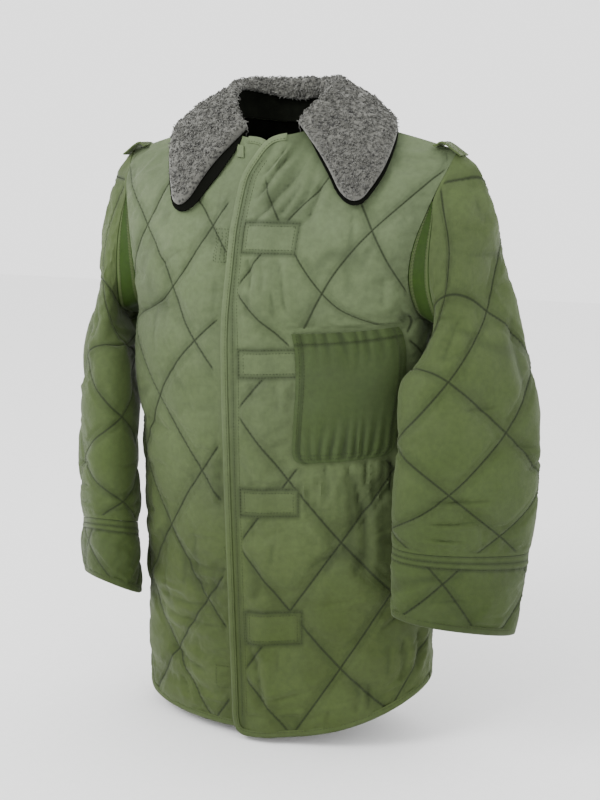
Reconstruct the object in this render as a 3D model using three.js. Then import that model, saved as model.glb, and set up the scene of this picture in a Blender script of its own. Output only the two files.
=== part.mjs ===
// Padded jacket with a fur collar, worn open-necked and empty: millimetres, +Z up, front towards -Y.
// The origin lies between the two neck points, where the shoulder seams meet the neckline.
// The wearer's left is +X. Every cloth piece is a closed wall between an inner and an outer skin.
import * as THREE from "three";

// ---------------------------------------------------------------- driving dimensions (mm)
const SEAM = 0.4; // clear gap left along a sewn seam
// Grid of a body panel. plainRows: the rows kept by its plain inner skin; overlap: front edge past the centre.
const BODY = {
  rows: 37,
  armRow: 25,
  plainRows: [0, 1, 5, 9, 13, 17, 21, 25, 27, 29, 31, 33, 35, 37],
  frontCols: 17,
  halfBackCols: 16,
  shoulderCols: 10,
  overlap: 25,
  lift: 8,
  neckLift: 4,
};
const QUILT = { cell: 8, base: 2.4, puff: 7, firstRow: 4 };
const SLEEVE = {
  rows: 26,
  plainRows: [0, 2, 4, 6, 8, 10, 14, 18, 22, 26],
  thinPuff: 6,
  clear: 12,
  capLeft: 0.4,
  capRight: 0.16,
};
const CUFF = { rows: 3, vent: 16, gapTop: 3.4, gapFoot: 9 };
const GUSSET = { width: 46, halfCount: 9, cols: 3, thick: 2.2, tip: 2.4 };
const TAPE = { wrap: 8.5, thick: 1.1, gap: 0.8, innerGap: 2.7 };
const COLLAR = { cols: 26, across: 11, fur: 8, furEdge: 3, under: 1.6, gap: 0.6, rest: 5.4, inset: 3, bend: 5 };
const COLLAR_KEYS = [0, 2, 4, 5, 6, 8.5, 11]; // grid rows of the foot, mid stand, fold and fall points
const POCKET = { thick: 2, sag: 5, gap: 0.6, mouth: 0.78 }; // mouth: how far the top edge has come down
const POCKET_ROWS = [17, 18, 19, 20, 21, 22, 23, 24, 24.9];
const POCKET_COLS = [5.3, 6, 7, 8, 9, 10, 11, 12, 12.9];
const TAB = { rows: [35.9, 36.5], cols: [2.4, 3.1], gap: 0.8, thick: 1.8 };
// Shoulder loop: x and z of its bends from the stitched foot outwards, and its lines across in y.
const LOOP = {
  path: [[234, -38], [239, -36], [244, -28], [255, -33], [266, -42], [277, -50]],
  across: [-6, 3, 12, 27],
  gap: 0.8,
  thick: 2.2,
};
const NECK_TAPE = { left: 2.1, right: 2 }; // grid columns where the neck tapes end

// Body section rows, right way up from the hem. row: grid row; yc, zc: centre line; ex, ey, ez: side seam
// or armhole edge; dir: heading at that edge in degrees; hc, he: handle lengths at the centre and the edge.
const FRONT_ROWS = [
  { row: 0, yc: -111, zc: -878, ex: 236, ey: 6, ez: -872, dir: 90, hc: 126, he: 60 },
  { row: 9, yc: -124, zc: -668, ex: 236, ey: 8, ez: -660, dir: 90, hc: 127, he: 66 },
  { row: 17, yc: -134, zc: -480, ex: 236, ey: 8, ez: -472, dir: 90, hc: 128, he: 80 },
  { row: 25, yc: -138, zc: -300, ex: 236, ey: 8, ez: -284, dir: 90, hc: 128, he: 96 },
  { row: 27, yc: -136, zc: -260, ex: 228, ey: -38, ez: -269, dir: 76, hc: 124, he: 52 },
  { row: 29, yc: -131, zc: -219, ex: 223, ey: -60, ez: -226, dir: 66, hc: 120, he: 38 },
  { row: 31, yc: -123, zc: -176, ex: 229, ey: -61, ez: -180, dir: 58, hc: 114, he: 36 },
  { row: 33, yc: -110, zc: -131, ex: 241, ey: -48, ez: -138, dir: 48, hc: 108, he: 36 },
  { row: 35, yc: -92, zc: -84, ex: 255, ey: -28, ez: -94, dir: 34, hc: 100, he: 38 },
];
const BACK_ROWS = [
  { row: 0, yc: 119, zc: -872, ex: 236, ey: 6, ez: -872, dir: -90, hc: 126, he: 62 },
  { row: 9, yc: 118, zc: -660, ex: 236, ey: 8, ez: -660, dir: -90, hc: 127, he: 66 },
  { row: 17, yc: 117, zc: -472, ex: 236, ey: 8, ez: -472, dir: -90, hc: 128, he: 66 },
  { row: 25, yc: 116, zc: -288, ex: 236, ey: 8, ez: -284, dir: -90, hc: 130, he: 66 },
  { row: 27, yc: 116, zc: -246, ex: 230, ey: 48, ez: -268, dir: -72, hc: 128, he: 44 },
  { row: 29, yc: 115, zc: -202, ex: 227, ey: 70, ez: -226, dir: -52, hc: 124, he: 36 },
  { row: 31, yc: 112, zc: -156, ex: 232, ey: 74, ez: -180, dir: -42, hc: 118, he: 34 },
  { row: 33, yc: 107, zc: -108, ex: 243, ey: 66, ez: -138, dir: -40, hc: 110, he: 34 },
  { row: 35, yc: 96, zc: -58, ex: 255, ey: 50, ez: -94, dir: -36, hc: 100, he: 34 },
];
const NECK = { front: [0, -66, -32], side: [80, 8, 0], back: [0, 72, -6] };
const SHOULDER = [266, 12, -50];
// The hem hangs lower in front than behind, and lower on the wearer's right.
const HEM = { drop: -8, perX: 0.055, perY: 0.18, fade: 1.3, leftExtra: -9, leftSide: 36 };

// Sleeve rings. at: share of the rows; x, y, z: ring centre; long, short: half axes; turn: heading of the
// long axis in degrees from +X towards +Y; rise: rise per mm outwards; lean: rise per mm backwards.
const LEFT_RINGS = [
  { at: 0.3, x: 289, y: -8, z: -298, long: 84, short: 33, turn: 64, rise: 1.05, lean: 0 },
  { at: 0.44, x: 297, y: -24, z: -348, long: 100, short: 44, turn: 57, rise: 0.3, lean: 0 },
  { at: 0.6, x: 308, y: -32, z: -430, long: 110, short: 45, turn: 54, rise: 0.1, lean: 0 },
  { at: 0.82, x: 310, y: -46, z: -536, long: 112, short: 43, turn: 52, rise: -0.02, lean: -0.04 },
  { at: 1.0, x: 307, y: -52, z: -602, long: 106, short: 42, turn: 51, rise: -0.1, lean: -0.08 },
  { at: 1.25, x: 300, y: -58, z: -711, long: 94, short: 42, turn: 50, rise: -0.16, lean: -0.18 },
];
const RIGHT_RINGS = [
  { at: 0.3, x: 286, y: -6, z: -298, long: 82, short: 30, turn: 68, rise: 1.05, lean: 0 },
  { at: 0.44, x: 290, y: -24, z: -348, long: 96, short: 36, turn: 62, rise: 0.3, lean: 0 },
  { at: 0.6, x: 293, y: -32, z: -435, long: 104, short: 38, turn: 58, rise: 0.1, lean: 0 },
  { at: 0.82, x: 290, y: -46, z: -547, long: 106, short: 40, turn: 54, rise: 0, lean: -0.14 },
  { at: 1.0, x: 286, y: -52, z: -630, long: 100, short: 40, turn: 52, rise: -0.03, lean: -0.3 },
  { at: 1.25, x: 280, y: -58, z: -728, long: 92, short: 40, turn: 52, rise: 0.24, lean: -0.48 },
];

// Outer edge of the collar fall: along 0 at the back, 1 at the front point; left and right leaves differ.
const FALL_LEFT = [
  { along: 0, x: 0, y: 110, z: -26 },
  { along: 0.3, x: 92, y: 92, z: -17 },
  { along: 0.52, x: 164, y: 30, z: -10 },
  { along: 0.7, x: 184, y: -26, z: -42 },
  { along: 0.86, x: 180, y: -76, z: -84 },
  { along: 1, x: 150, y: -106, z: -124 },
];
const FALL_RIGHT = [
  { along: 0, x: 0, y: 110, z: -26 },
  { along: 0.3, x: 93, y: 92, z: -17 },
  { along: 0.52, x: 164, y: 28, z: -10 },
  { along: 0.7, x: 170, y: -34, z: -24 },
  { along: 0.86, x: 143, y: -84, z: -82 },
  { along: 1, x: 110, y: -118, z: -136 },
];
// Stand height and lean of the fold over the neckline.
const STAND = [
  { along: 0, height: 56, lean: -2 },
  { along: 0.4, height: 50, lean: 6 },
  { along: 0.7, height: 36, lean: 4 },
  { along: 0.88, height: 19, lean: 1 },
  { along: 1, height: 9, lean: 0 },
];
const COLLAR_END = { left: 0.37, right: 0.28 }; // where the collar ends, as a share of the front neckline

// Places on the left front, in grid columns and rows: the chest pocket and the stitched rectangles.
const POCKET_AREA = { u0: 5.3, u1: 12.9, v0: 17, v1: 24.9 };
const RECTANGLES = [
  { u0: 1.9, u1: 5.3, v0: 27.9, v1: 29.5 },
  { u0: 1.7, u1: 5.2, v0: 21.9, v1: 23.5 },
  { u0: 1.7, u1: 5.2, v0: 14.6, v1: 16.2 },
  { u0: 1.7, u1: 5.2, v0: 8.2, v1: 9.9 },
];

// ---------------------------------------------------------------- points and curves
const vec = (x, y, z) => new THREE.Vector3(x, y, z);
const shifted = (p, dir, by) => p.clone().addScaledVector(dir, by);
const towards = (from, to) => to.clone().sub(from).normalize();
const between = (a, b, t) => a.clone().lerp(b, t);
const clamp = THREE.MathUtils.clamp;
const smooth = THREE.MathUtils.smoothstep;
const rad = THREE.MathUtils.degToRad;

/** Value at `at` of a smooth curve through rows of numbers standing at rising keys. */
function throughKeys(keys, rows, at) {
  const last = keys.length - 1;
  let k = 0;
  while (k < last - 1 && at > keys[k + 1]) k += 1;
  const rise = (n, c) => (rows[n + 1][c] - rows[n][c]) / (keys[n + 1] - keys[n]);
  const slope = (n, c) => {
    if (n === 0) return rise(0, c);
    if (n === last) return rise(last - 1, c);
    const before = keys[n] - keys[n - 1];
    const after = keys[n + 1] - keys[n];
    return (rise(n - 1, c) * after + rise(n, c) * before) / (before + after);
  };
  const span = keys[k + 1] - keys[k];
  const t = (at - keys[k]) / span;
  const start = 2 * t ** 3 - 3 * t ** 2 + 1;
  const startSlope = (t ** 3 - 2 * t ** 2 + t) * span;
  const endSlope = (t ** 3 - t ** 2) * span;
  return rows[k].map((value, c) =>
    start * value + startSlope * slope(k, c) + (1 - start) * rows[k + 1][c] + endSlope * slope(k + 1, c));
}

/** Point at `at` on a smooth curve through points standing at rising keys. */
function pointThrough(keys, points, at) {
  return vec(...throughKeys(keys, points.map((p) => p.toArray()), at));
}

/** Named columns of a table of sizes at `at`, smooth from row to row. */
function readTable(table, keyName, columns, at) {
  const keys = table.map((row) => row[keyName]);
  const rows = table.map((row) => columns.map((name) => row[name]));
  return throughKeys(keys, rows, at);
}

/** Points on a cubic Bezier curve. */
function bezier(a, b, c, d, steps = 60) {
  return new THREE.CubicBezierCurve3(a, b, c, d).getPoints(steps);
}

/** Points standing at even lengths along a polyline. */
function evenly(points, steps) {
  const lengths = [0];
  for (let n = 1; n < points.length; n += 1) {
    lengths.push(lengths[n - 1] + points[n].distanceTo(points[n - 1]));
  }
  const total = lengths[points.length - 1];
  const result = [];
  let n = 1;
  for (let s = 0; s <= steps; s += 1) {
    const wanted = (total * s) / steps;
    while (n < points.length - 1 && lengths[n] < wanted) n += 1;
    const share = (wanted - lengths[n - 1]) / (lengths[n] - lengths[n - 1]);
    result.push(between(points[n - 1], points[n], clamp(share, 0, 1)));
  }
  return result;
}

/** A curve running from x = 0 outwards, begun instead at x = -past on its own mirrored lead. */
function begunPast(points, past) {
  const lead = points.filter((p) => p.x > 1 && p.x < past).reverse();
  const start = points.find((p) => p.x >= past);
  return [vec(-past, start.y, start.z), ...lead.map((p) => vec(-p.x, p.y, p.z)), ...points];
}

// ---------------------------------------------------------------- body panels
/** One level curve of a body panel, from the centre line to its side edge. */
function bodyLevel(row) {
  const centre = vec(0, row.yc, row.zc);
  const edge = vec(row.ex, row.ey, row.ez);
  const heading = vec(Math.cos(rad(row.dir)), Math.sin(rad(row.dir)), 0);
  const rise = row.ez - row.zc;
  const second = centre.clone().add(vec(row.hc, 0, rise * 0.15));
  const third = shifted(edge, heading, -row.he).add(vec(0, 0, -rise * 0.25));
  return bezier(centre, second, third, edge);
}

/** Neckline from the centre line to the neck point. */
function neckline(isFront) {
  const side = vec(...NECK.side);
  if (isFront) return bezier(vec(...NECK.front), vec(44, -66, -32), vec(78, -36, -14), side);
  return bezier(vec(...NECK.back), vec(45, 72, -6), vec(80, 44, 2), side);
}

/** Shoulder seam from the neck point to the armhole, a little rounded. */
function shoulderSeam() {
  return bezier(vec(...NECK.side), vec(135, 10, -14), vec(211, 12, -31), vec(...SHOULDER));
}

/** Grid of a half panel: rows from hem to shoulder, columns from the centre to the side. */
function halfPanel(table, isFront, cols, past) {
  const levels = table.map((row) => {
    const curve = bodyLevel(row);
    return evenly(past > 0 ? begunPast(curve, past) : curve, cols);
  });
  const neck = past > 0 ? begunPast(neckline(isFront), past * 0.6) : neckline(isFront);
  const shoulder = evenly(shoulderSeam(), BODY.shoulderCols).slice(1);
  const top = [...evenly(neck, cols - BODY.shoulderCols), ...shoulder];
  const keys = [...table.map((row) => row.row), BODY.rows];
  const grid = [];
  for (let j = 0; j <= BODY.rows; j += 1) {
    grid.push(top.map((_, i) => pointThrough(keys, [...levels.map((level) => level[i]), top[i]], j)));
  }
  return grid;
}

/** Front and back brought onto one shared side seam, the change fading across each panel. */
function joinSides(front, back) {
  for (let j = 0; j < BODY.armRow; j += 1) {
    const middle = between(front[j].at(-1), back[j].at(-1), 0.5);
    for (const row of [front[j], back[j]]) {
      const change = middle.clone().sub(row.at(-1));
      row.forEach((p, i) => p.addScaledVector(change, (i / (row.length - 1)) ** 4));
    }
  }
}

/** Lets a panel hang: the lower rows drop with their place around the body. */
function hang(grid, sideSign, extra, sideRise) {
  grid.forEach((row, j) => {
    const share = clamp(1 - j / BODY.armRow, 0, 1) ** HEM.fade;
    row.forEach((p, i) => {
      const centre = 1 - (i / (row.length - 1)) ** 2;
      const drop = HEM.drop + HEM.perX * p.x * sideSign + HEM.perY * p.y;
      p.z += share * (drop + extra * centre + sideRise * (Math.abs(p.x) / 236) ** 3);
    });
  });
}

/** The overlapping front edge stands off the edge beneath it. */
function liftEdge(grid) {
  for (const row of grid) {
    for (const p of row) {
      const share = smooth(62 - p.x, 0, 36);
      const nearNeck = share * smooth(p.z, -150, -60) * BODY.neckLift;
      p.y -= BODY.lift * share + nearNeck * 0.3;
      p.z += nearNeck;
    }
  }
}

/** Draws a corner of a grid inwards along its diagonal, which rounds the cut. */
function roundCorner(grid, j, i, share) {
  const dj = j === 0 ? 1 : -1;
  const di = i === 0 ? 1 : -1;
  grid[j][i].lerp(grid[j + dj][i + di], share);
}

const mirrored = (grid) => grid.map((row) => row.map((p) => vec(-p.x, p.y, p.z)));

// ---------------------------------------------------------------- walls
/** Unit normals of a grid, from its columns crossed with its rows. */
function gridNormals(grid, { flip = false, wrap = false } = {}) {
  const rows = grid.length - 1;
  const cols = grid[0].length;
  return grid.map((row, j) => row.map((_, i) => {
    const left = wrap ? (i + cols - 1) % cols : Math.max(i - 1, 0);
    const right = wrap ? (i + 1) % cols : Math.min(i + 1, cols - 1);
    const along = row[right].clone().sub(row[left]);
    const up = grid[Math.min(j + 1, rows)][i].clone().sub(grid[Math.max(j - 1, 0)][i]);
    return along.cross(up).normalize().multiplyScalar(flip ? -1 : 1);
  }));
}

/** Gives two seam edges one common set of directions, so their cut faces lie side by side. */
function shareDirections(first, second) {
  first.forEach((n, k) => {
    n.add(second[k]).normalize();
    second[k].copy(n);
  });
}

/** Moves the named edges of a grid inwards, square to each edge, by half the seam gap. */
function trim(grid, { left, right, bottom, top }, by = SEAM / 2) {
  const rows = grid.length - 1;
  const cols = grid[0].length - 1;
  const moves = [];
  const at = (j, i) => grid[clamp(j, 0, rows)][clamp(i, 0, cols)];
  const pull = (j, i, dj, di) => {
    const edge = towards(at(j - di, i - dj), at(j + di, i + dj));
    const inwards = vec(0, 0, 0);
    for (const step of [-1, 0, 1]) inwards.add(at(j + dj + step * di, i + di + step * dj)).sub(grid[j][i]);
    inwards.addScaledVector(edge, -inwards.dot(edge)).normalize();
    moves.push([grid[j][i], inwards]);
  };
  for (let j = 0; j <= rows; j += 1) {
    if (left && left(j)) pull(j, 0, 0, 1);
    if (right && right(j)) pull(j, cols, 0, -1);
  }
  for (let i = 0; i <= cols; i += 1) {
    if (bottom && bottom(i)) pull(0, i, 1, 0);
    if (top && top(i)) pull(rows, i, -1, 0);
  }
  for (const [point, direction] of moves) point.addScaledVector(direction, by);
}

/** Coarse lines over a run of cells: the ends, and every second line between them. */
function coarseLines(count) {
  const lines = [0];
  for (let n = 1 + (count % 2 === 0 ? 1 : 0); n < count; n += 2) lines.push(n);
  return [...lines, count];
}

/**
 * A closed wall: an inner skin on the grid and an outer skin raised from it by `thick(j, i)`.
 * With `plainRows`, the inner skin keeps only those rows, and every second column, away from its edges.
 */
class Wall {
  constructor(grid, normals, thick, { flip = false, wrap = false, plainRows = null, ridge = null } = {}) {
    Object.assign(this, { grid, normals, flip, wrap, plainRows, ridge });
    this.rows = grid.length - 1;
    this.cols = wrap ? grid[0].length : grid[0].length - 1;
    this.outer = grid.map((row, j) => row.map((p, i) => shifted(p, normals[j][i], thick(j, i))));
  }

  column(i) {
    return this.wrap ? i % this.cols : i;
  }

  /** Outer skin as a list of triangles, for pieces that rest on it. */
  faces() {
    const at = (j, i) => this.outer[j][this.column(i)];
    const list = [];
    for (let j = 0; j < this.rows; j += 1) {
      for (let i = 0; i < this.cols; i += 1) {
        for (const [a, b, c] of this.cellTriangles(j, i)) {
          const corners = [at(...a), at(...b), at(...c)];
          if (this.flip) corners.reverse();
          list.push(new THREE.Triangle(...corners));
        }
      }
    }
    return list;
  }

  /** The two triangles of a cell, split along a row of stitches where one crosses it. */
  cellTriangles(j, i) {
    const a = [j, i];
    const b = [j, i + 1];
    const c = [j + 1, i + 1];
    const d = [j + 1, i];
    const falling = this.ridge ? this.ridge(j, i) === "falling" : (i + j) % 2 === 1;
    return falling ? [[a, b, d], [b, c, d]] : [[a, b, c], [a, c, d]];
  }

  geometry() {
    const points = [];
    const faces = [];
    const number = new Map();
    const vertex = (skin, j, i) => {
      const key = `${skin}:${j}:${this.column(i)}`;
      if (!number.has(key)) {
        const source = skin === "outer" ? this.outer : this.grid;
        number.set(key, points.length);
        points.push(source[j][this.column(i)]);
      }
      return number.get(key);
    };
    const add = (a, b, c) => faces.push(this.flip ? [a, c, b] : [a, b, c]);
    for (let j = 0; j < this.rows; j += 1) {
      for (let i = 0; i < this.cols; i += 1) {
        for (const corners of this.cellTriangles(j, i)) {
          add(...corners.map(([row, col]) => vertex("outer", row, col)));
        }
      }
    }
    for (const polygon of this.innerPolygons()) {
      const ids = polygon.map(([row, col]) => vertex("inner", row, col));
      for (let n = 1; n < ids.length - 1; n += 1) add(ids[0], ids[n + 1], ids[n]);
    }
    for (const loop of this.rims()) {
      for (let n = 0; n < loop.length - 1; n += 1) {
        const [from, to] = [loop[n], loop[n + 1]];
        add(vertex("inner", ...from), vertex("inner", ...to), vertex("outer", ...to));
        add(vertex("inner", ...from), vertex("outer", ...to), vertex("outer", ...from));
      }
    }
    return solidGeometry(points, faces);
  }

  /** Inner skin as polygons: the outer skin's triangles, or wide cells begun far from the wall's edges. */
  innerPolygons() {
    const list = [];
    if (!this.plainRows) {
      for (let j = 0; j < this.rows; j += 1) {
        for (let i = 0; i < this.cols; i += 1) list.push(...this.cellTriangles(j, i));
      }
      return list;
    }
    const us = coarseLines(this.cols);
    const vs = this.plainRows;
    for (let m = 0; m < vs.length - 1; m += 1) {
      for (let n = 0; n < us.length - 1; n += 1) {
        const [i0, i1, j0, j1] = [us[n], us[n + 1], vs[m], vs[m + 1]];
        const run = (from, to, fine) => {
          const step = Math.sign(to - from);
          if (!fine) return [from];
          return range(Math.abs(to - from) - 1).map((k) => from + k * step);
        };
        const bottom = run(i0, i1, j0 === 0).map((i) => [j0, i]);
        const right = run(j0, j1, !this.wrap && i1 === this.cols).map((j) => [j, i1]);
        const top = run(i1, i0, j1 === this.rows).map((i) => [j1, i]);
        const left = run(j1, j0, !this.wrap && i0 === 0).map((j) => [j, i0]);
        const farLeft = this.wrap || i0 > 0;
        const sides = j0 > 0
          ? (farLeft ? [bottom, right, top, left] : [right, top, left, bottom])
          : (farLeft ? [left, bottom, right, top] : [top, left, bottom, right]);
        list.push(sides.flat());
      }
    }
    return list;
  }

  /** Edge loops, each running with the wall on its left as seen from outside. */
  rims() {
    const along = (count, make) => range(count).map(make);
    if (this.wrap) {
      return [
        along(this.cols, (i) => [0, i]),
        along(this.cols, (i) => [this.rows, this.cols - i]),
      ];
    }
    return [[
      ...along(this.cols, (i) => [0, i]),
      ...along(this.rows, (j) => [j, this.cols]).slice(1),
      ...along(this.cols, (i) => [this.rows, this.cols - i]).slice(1),
      ...along(this.rows, (j) => [this.rows - j, 0]).slice(1),
    ]];
  }
}

/** Whole numbers from 0 to count. */
function range(count) {
  return Array.from({ length: count + 1 }, (_, n) => n);
}

/** Indexed geometry from points and triangles. */
function solidGeometry(points, faces) {
  const geometry = new THREE.BufferGeometry();
  geometry.setAttribute("position", new THREE.Float32BufferAttribute(points.flatMap((p) => p.toArray()), 3));
  geometry.setIndex(faces.flat());
  geometry.computeVertexNormals();
  return geometry;
}

/** Pushes points off a skin until each stands at least `gap` outside it; far points are left alone. */
function standOff(points, skin, gap) {
  const near = new THREE.Vector3();
  const normal = new THREE.Vector3();
  for (const point of points) {
    let best = Infinity;
    let facing = -1;
    let signed = 0;
    const outwards = new THREE.Vector3();
    for (const face of skin) {
      face.closestPointToPoint(point, near);
      const distance = near.distanceTo(point);
      if (distance > best + 1e-4) continue;
      face.getNormal(normal);
      const side = point.clone().sub(near).dot(normal) / Math.max(distance, 1e-9);
      if (distance > best - 1e-4 && Math.abs(side) <= facing) continue;
      best = distance;
      facing = Math.abs(side);
      signed = side < 0 ? -distance : distance;
      outwards.copy(normal);
    }
    const square = facing > 0.7 || best < 1;
    if (square && signed < gap && signed > -40) point.addScaledVector(outwards, gap - signed);
  }
}

// ---------------------------------------------------------------- quilting
/** Rise of the padding over a stitch lattice, 0 on the stitches and 1 in mid-diamond. */
function quiltRise(j, i) {
  const fold = (n) => {
    const rest = ((n % QUILT.cell) + QUILT.cell) % QUILT.cell;
    return Math.min(rest, QUILT.cell - rest);
  };
  const steps = Math.min(fold(i + j - QUILT.firstRow), fold(i - j - QUILT.firstRow));
  const share = clamp(steps / (QUILT.cell / 2), 0, 1);
  return Math.sqrt(1 - (1 - share) ** 2);
}

/** Which way the split of a cell runs, so that it follows the stitches. */
function quiltRidge(j, i) {
  const onLattice = (n) => (((n - QUILT.firstRow) % QUILT.cell) + QUILT.cell) % QUILT.cell === 0;
  if (onLattice(i - j)) return "rising";
  if (onLattice(i + 1 + j)) return "falling";
  return (i + j) % 2 === 0 ? "rising" : "falling";
}

/** 0 on the edges of a run of cells and 1 from `reach` cells inwards. */
function fromEnds(n, count, reach) {
  return clamp(Math.min(n, count - n) / reach, 0, 1);
}

/** How deep a grid place lies inside an area, in cells; negative outside it. */
function depthIn(area, j, i) {
  return Math.min(i - area.u0, area.u1 - i, j - area.v0, area.v1 - j);
}

// ---------------------------------------------------------------- body, armholes and side seams
const rawFront = halfPanel(FRONT_ROWS, true, BODY.frontCols, BODY.overlap);
const rawBack = halfPanel(BACK_ROWS, false, BODY.halfBackCols, 0);
joinSides(rawFront, rawBack);
const copyOf = (grid) => grid.map((row) => row.map((p) => p.clone()));

/** Front and half back of one side of the wearer, hung and put on its own side of the centre. */
function bodySide(isLeft) {
  const front = copyOf(rawFront);
  const back = copyOf(rawBack);
  const sideRise = isLeft ? HEM.leftSide : 0;
  hang(front, isLeft ? 1 : -1, isLeft ? HEM.leftExtra : 0, sideRise);
  hang(back, isLeft ? 1 : -1, 0, sideRise);
  if (isLeft) liftEdge(front);
  roundCorner(front, 0, 0, 0.22);
  roundCorner(front, BODY.rows, 0, 0.3);
  return isLeft ? { front, back } : { front: mirrored(front), back: mirrored(back) };
}

/** The armhole as a ring of grid places: under the arm first, up the front, down the back. */
function armholeOf(frontRows, backRows) {
  const front = frontRows.slice(BODY.armRow).map((row) => row.at(-1));
  const back = backRows.slice(BODY.armRow + 1, BODY.rows).map((row) => row.at(-1));
  return [...front, ...back.reverse()];
}

const gussetShare = (k) => Math.cos((Math.PI / 2) * (Math.abs(k) / GUSSET.halfCount)) ** 0.8;
const armCount = 2 * (BODY.rows - BODY.armRow);
const signedPlace = (k) => (k > armCount / 2 ? k - armCount : k);

/** Ring where the sleeve begins: the armhole, held off it by the gusset under the arm. */
function sleeveStart(armhole, side) {
  const away = vec(0.93 * side, 0, -0.37);
  return armhole.map((p, k) => {
    const place = signedPlace(k);
    if (Math.abs(place) > GUSSET.halfCount) return p.clone();
    return shifted(p, away, GUSSET.tip + (GUSSET.width - GUSSET.tip) * gussetShare(place));
  });
}

/** Points around one sleeve ring, from the side nearest the body, by way of the front. */
function ringPoints(ring, side) {
  const points = [];
  const power = 2 / 2.3;
  for (let n = 0; n <= 240; n += 1) {
    const angle = Math.PI + (2 * Math.PI * n) / 240 - rad(ring.turn);
    const [c, s] = [Math.cos(angle), Math.sin(angle)];
    const long = Math.sign(c) * Math.abs(c) ** power * ring.long;
    const short = Math.sign(s) * Math.abs(s) ** power * ring.short;
    const dx = long * Math.cos(rad(ring.turn)) - short * Math.sin(rad(ring.turn));
    const dy = long * Math.sin(rad(ring.turn)) + short * Math.cos(rad(ring.turn));
    points.push(vec((ring.x + dx) * side, ring.y + dy, ring.z + ring.rise * dx + ring.lean * dy));
  }
  return evenly(points, armCount).slice(0, armCount);
}

/** Rows of a whole sleeve with its cuff, shoulder first. */
function sleeveGrid(start, table, side, cap) {
  const rings = table.map((ring) => ringPoints(ring, side));
  const keys = table.map((ring) => ring.at);
  const total = SLEEVE.rows + CUFF.rows;
  return range(total).map((j) => {
    const share = j / SLEEVE.rows;
    const at = share <= 1 ? share : 1 + ((j - SLEEVE.rows) / CUFF.rows) * (keys.at(-1) - 1);
    return start.map((from, k) => {
      if (at >= keys[0]) return pointThrough(keys, rings.map((ring) => ring[k]), at);
      const to = rings[0][k];
      const round = (2 * Math.PI * k) / armCount;
      const high = (1 - Math.cos(round)) / 2;
      const leave = vec((0.45 + cap * high) * side, -0.25 * Math.sin(round), -0.85 + 0.35 * high).normalize();
      const arrive = towards(to, rings[1][k]);
      const reach = from.distanceTo(to) * 0.37;
      const curve = new THREE.CubicBezierCurve3(
        from, shifted(from, leave, reach), shifted(to, arrive, -reach), to);
      return curve.getPoint(at / keys[0]);
    });
  });
}

/** Gusset grid: from the body edge out to the sleeve edge, its columns running round under the arm. */
function gussetGrid(armhole, start) {
  const places = range(2 * GUSSET.halfCount).map((n) => (n - GUSSET.halfCount + armCount) % armCount);
  return range(GUSSET.cols).map((row) => places.map((k) => {
    const share = row / GUSSET.cols;
    const sag = Math.sin(Math.PI * share) * 0.07 * armhole[k].distanceTo(start[k]);
    return between(armhole[k], start[k], share).add(vec(0, 0, -sag));
  }));
}

// ---------------------------------------------------------------- thickness of the padded walls
/** Share of the padding left where the collar fall presses on the top rows, `out` from the centre line. */
function underFall(j, out) {
  return 1 - 0.9 * smooth(j, 31, 35) * (1 - smooth(out, 0.8, 1));
}

/** Share of the padding left by the underarm point, `out` columns in from the side edge. */
function nearArm(j, out) {
  return smooth(Math.max(Math.abs(j - BODY.armRow - 1), out) / 4, 0.25, 1);
}

/** Padding of a front panel: flat along its edges, under the pocket and along the stitched rectangles. */
function frontThickness(isLeft) {
  return (j, i) => {
    let puff = QUILT.puff * quiltRise(j, i - 1) * fromEnds(j, BODY.rows, 1.5) * fromEnds(i, BODY.frontCols, 2);
    const flat = isLeft ? 1 : 3;
    puff *= smooth(i, flat, flat + 2);
    puff *= underFall(j, i / 15) * nearArm(j, BODY.frontCols - i);
    if (isLeft) {
      const depth = depthIn(POCKET_AREA, j, i);
      if (depth > -0.8) puff *= 0.12;
      for (const area of RECTANGLES) {
        const inside = depthIn(area, j, i);
        if (inside > -0.3) puff = Math.min(puff, 1.2);
      }
    }
    return QUILT.base + puff;
  };
}

function backThickness(j, i) {
  const count = 2 * BODY.halfBackCols;
  const pressed = underFall(j, Math.abs(i - BODY.halfBackCols) / 14);
  const ends = fromEnds(j, BODY.rows, 1.5) * fromEnds(i, count, 1.5);
  return QUILT.base + QUILT.puff * quiltRise(j, i) * ends * pressed * nearArm(j, Math.min(i, count - i));
}

/** Padding of a sleeve: thinner where its rows crowd together under the arm. */
function sleeveThickness(grid) {
  return (j, k) => {
    const spread = grid[Math.min(j + 1, SLEEVE.rows)][k].distanceTo(grid[Math.max(j - 1, 0)][k]);
    const room = clamp(spread / 44, 0.15, 1) ** 1.5;
    return QUILT.base + SLEEVE.thinPuff * quiltRise(j, k + 2) * fromEnds(j, SLEEVE.rows, 1.5) * room;
  };
}

const CUFF_RIDGES = [2.4, 5.2, 4.2, 4, 2.6];

// ---------------------------------------------------------------- walls put together
const left = bodySide(true);
const right = bodySide(false);
const backGrid = left.back.map((row, j) => [...copyOf([row])[0].reverse(), ...right.back[j].slice(1)]);
const backNormals = gridNormals(backGrid);

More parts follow.
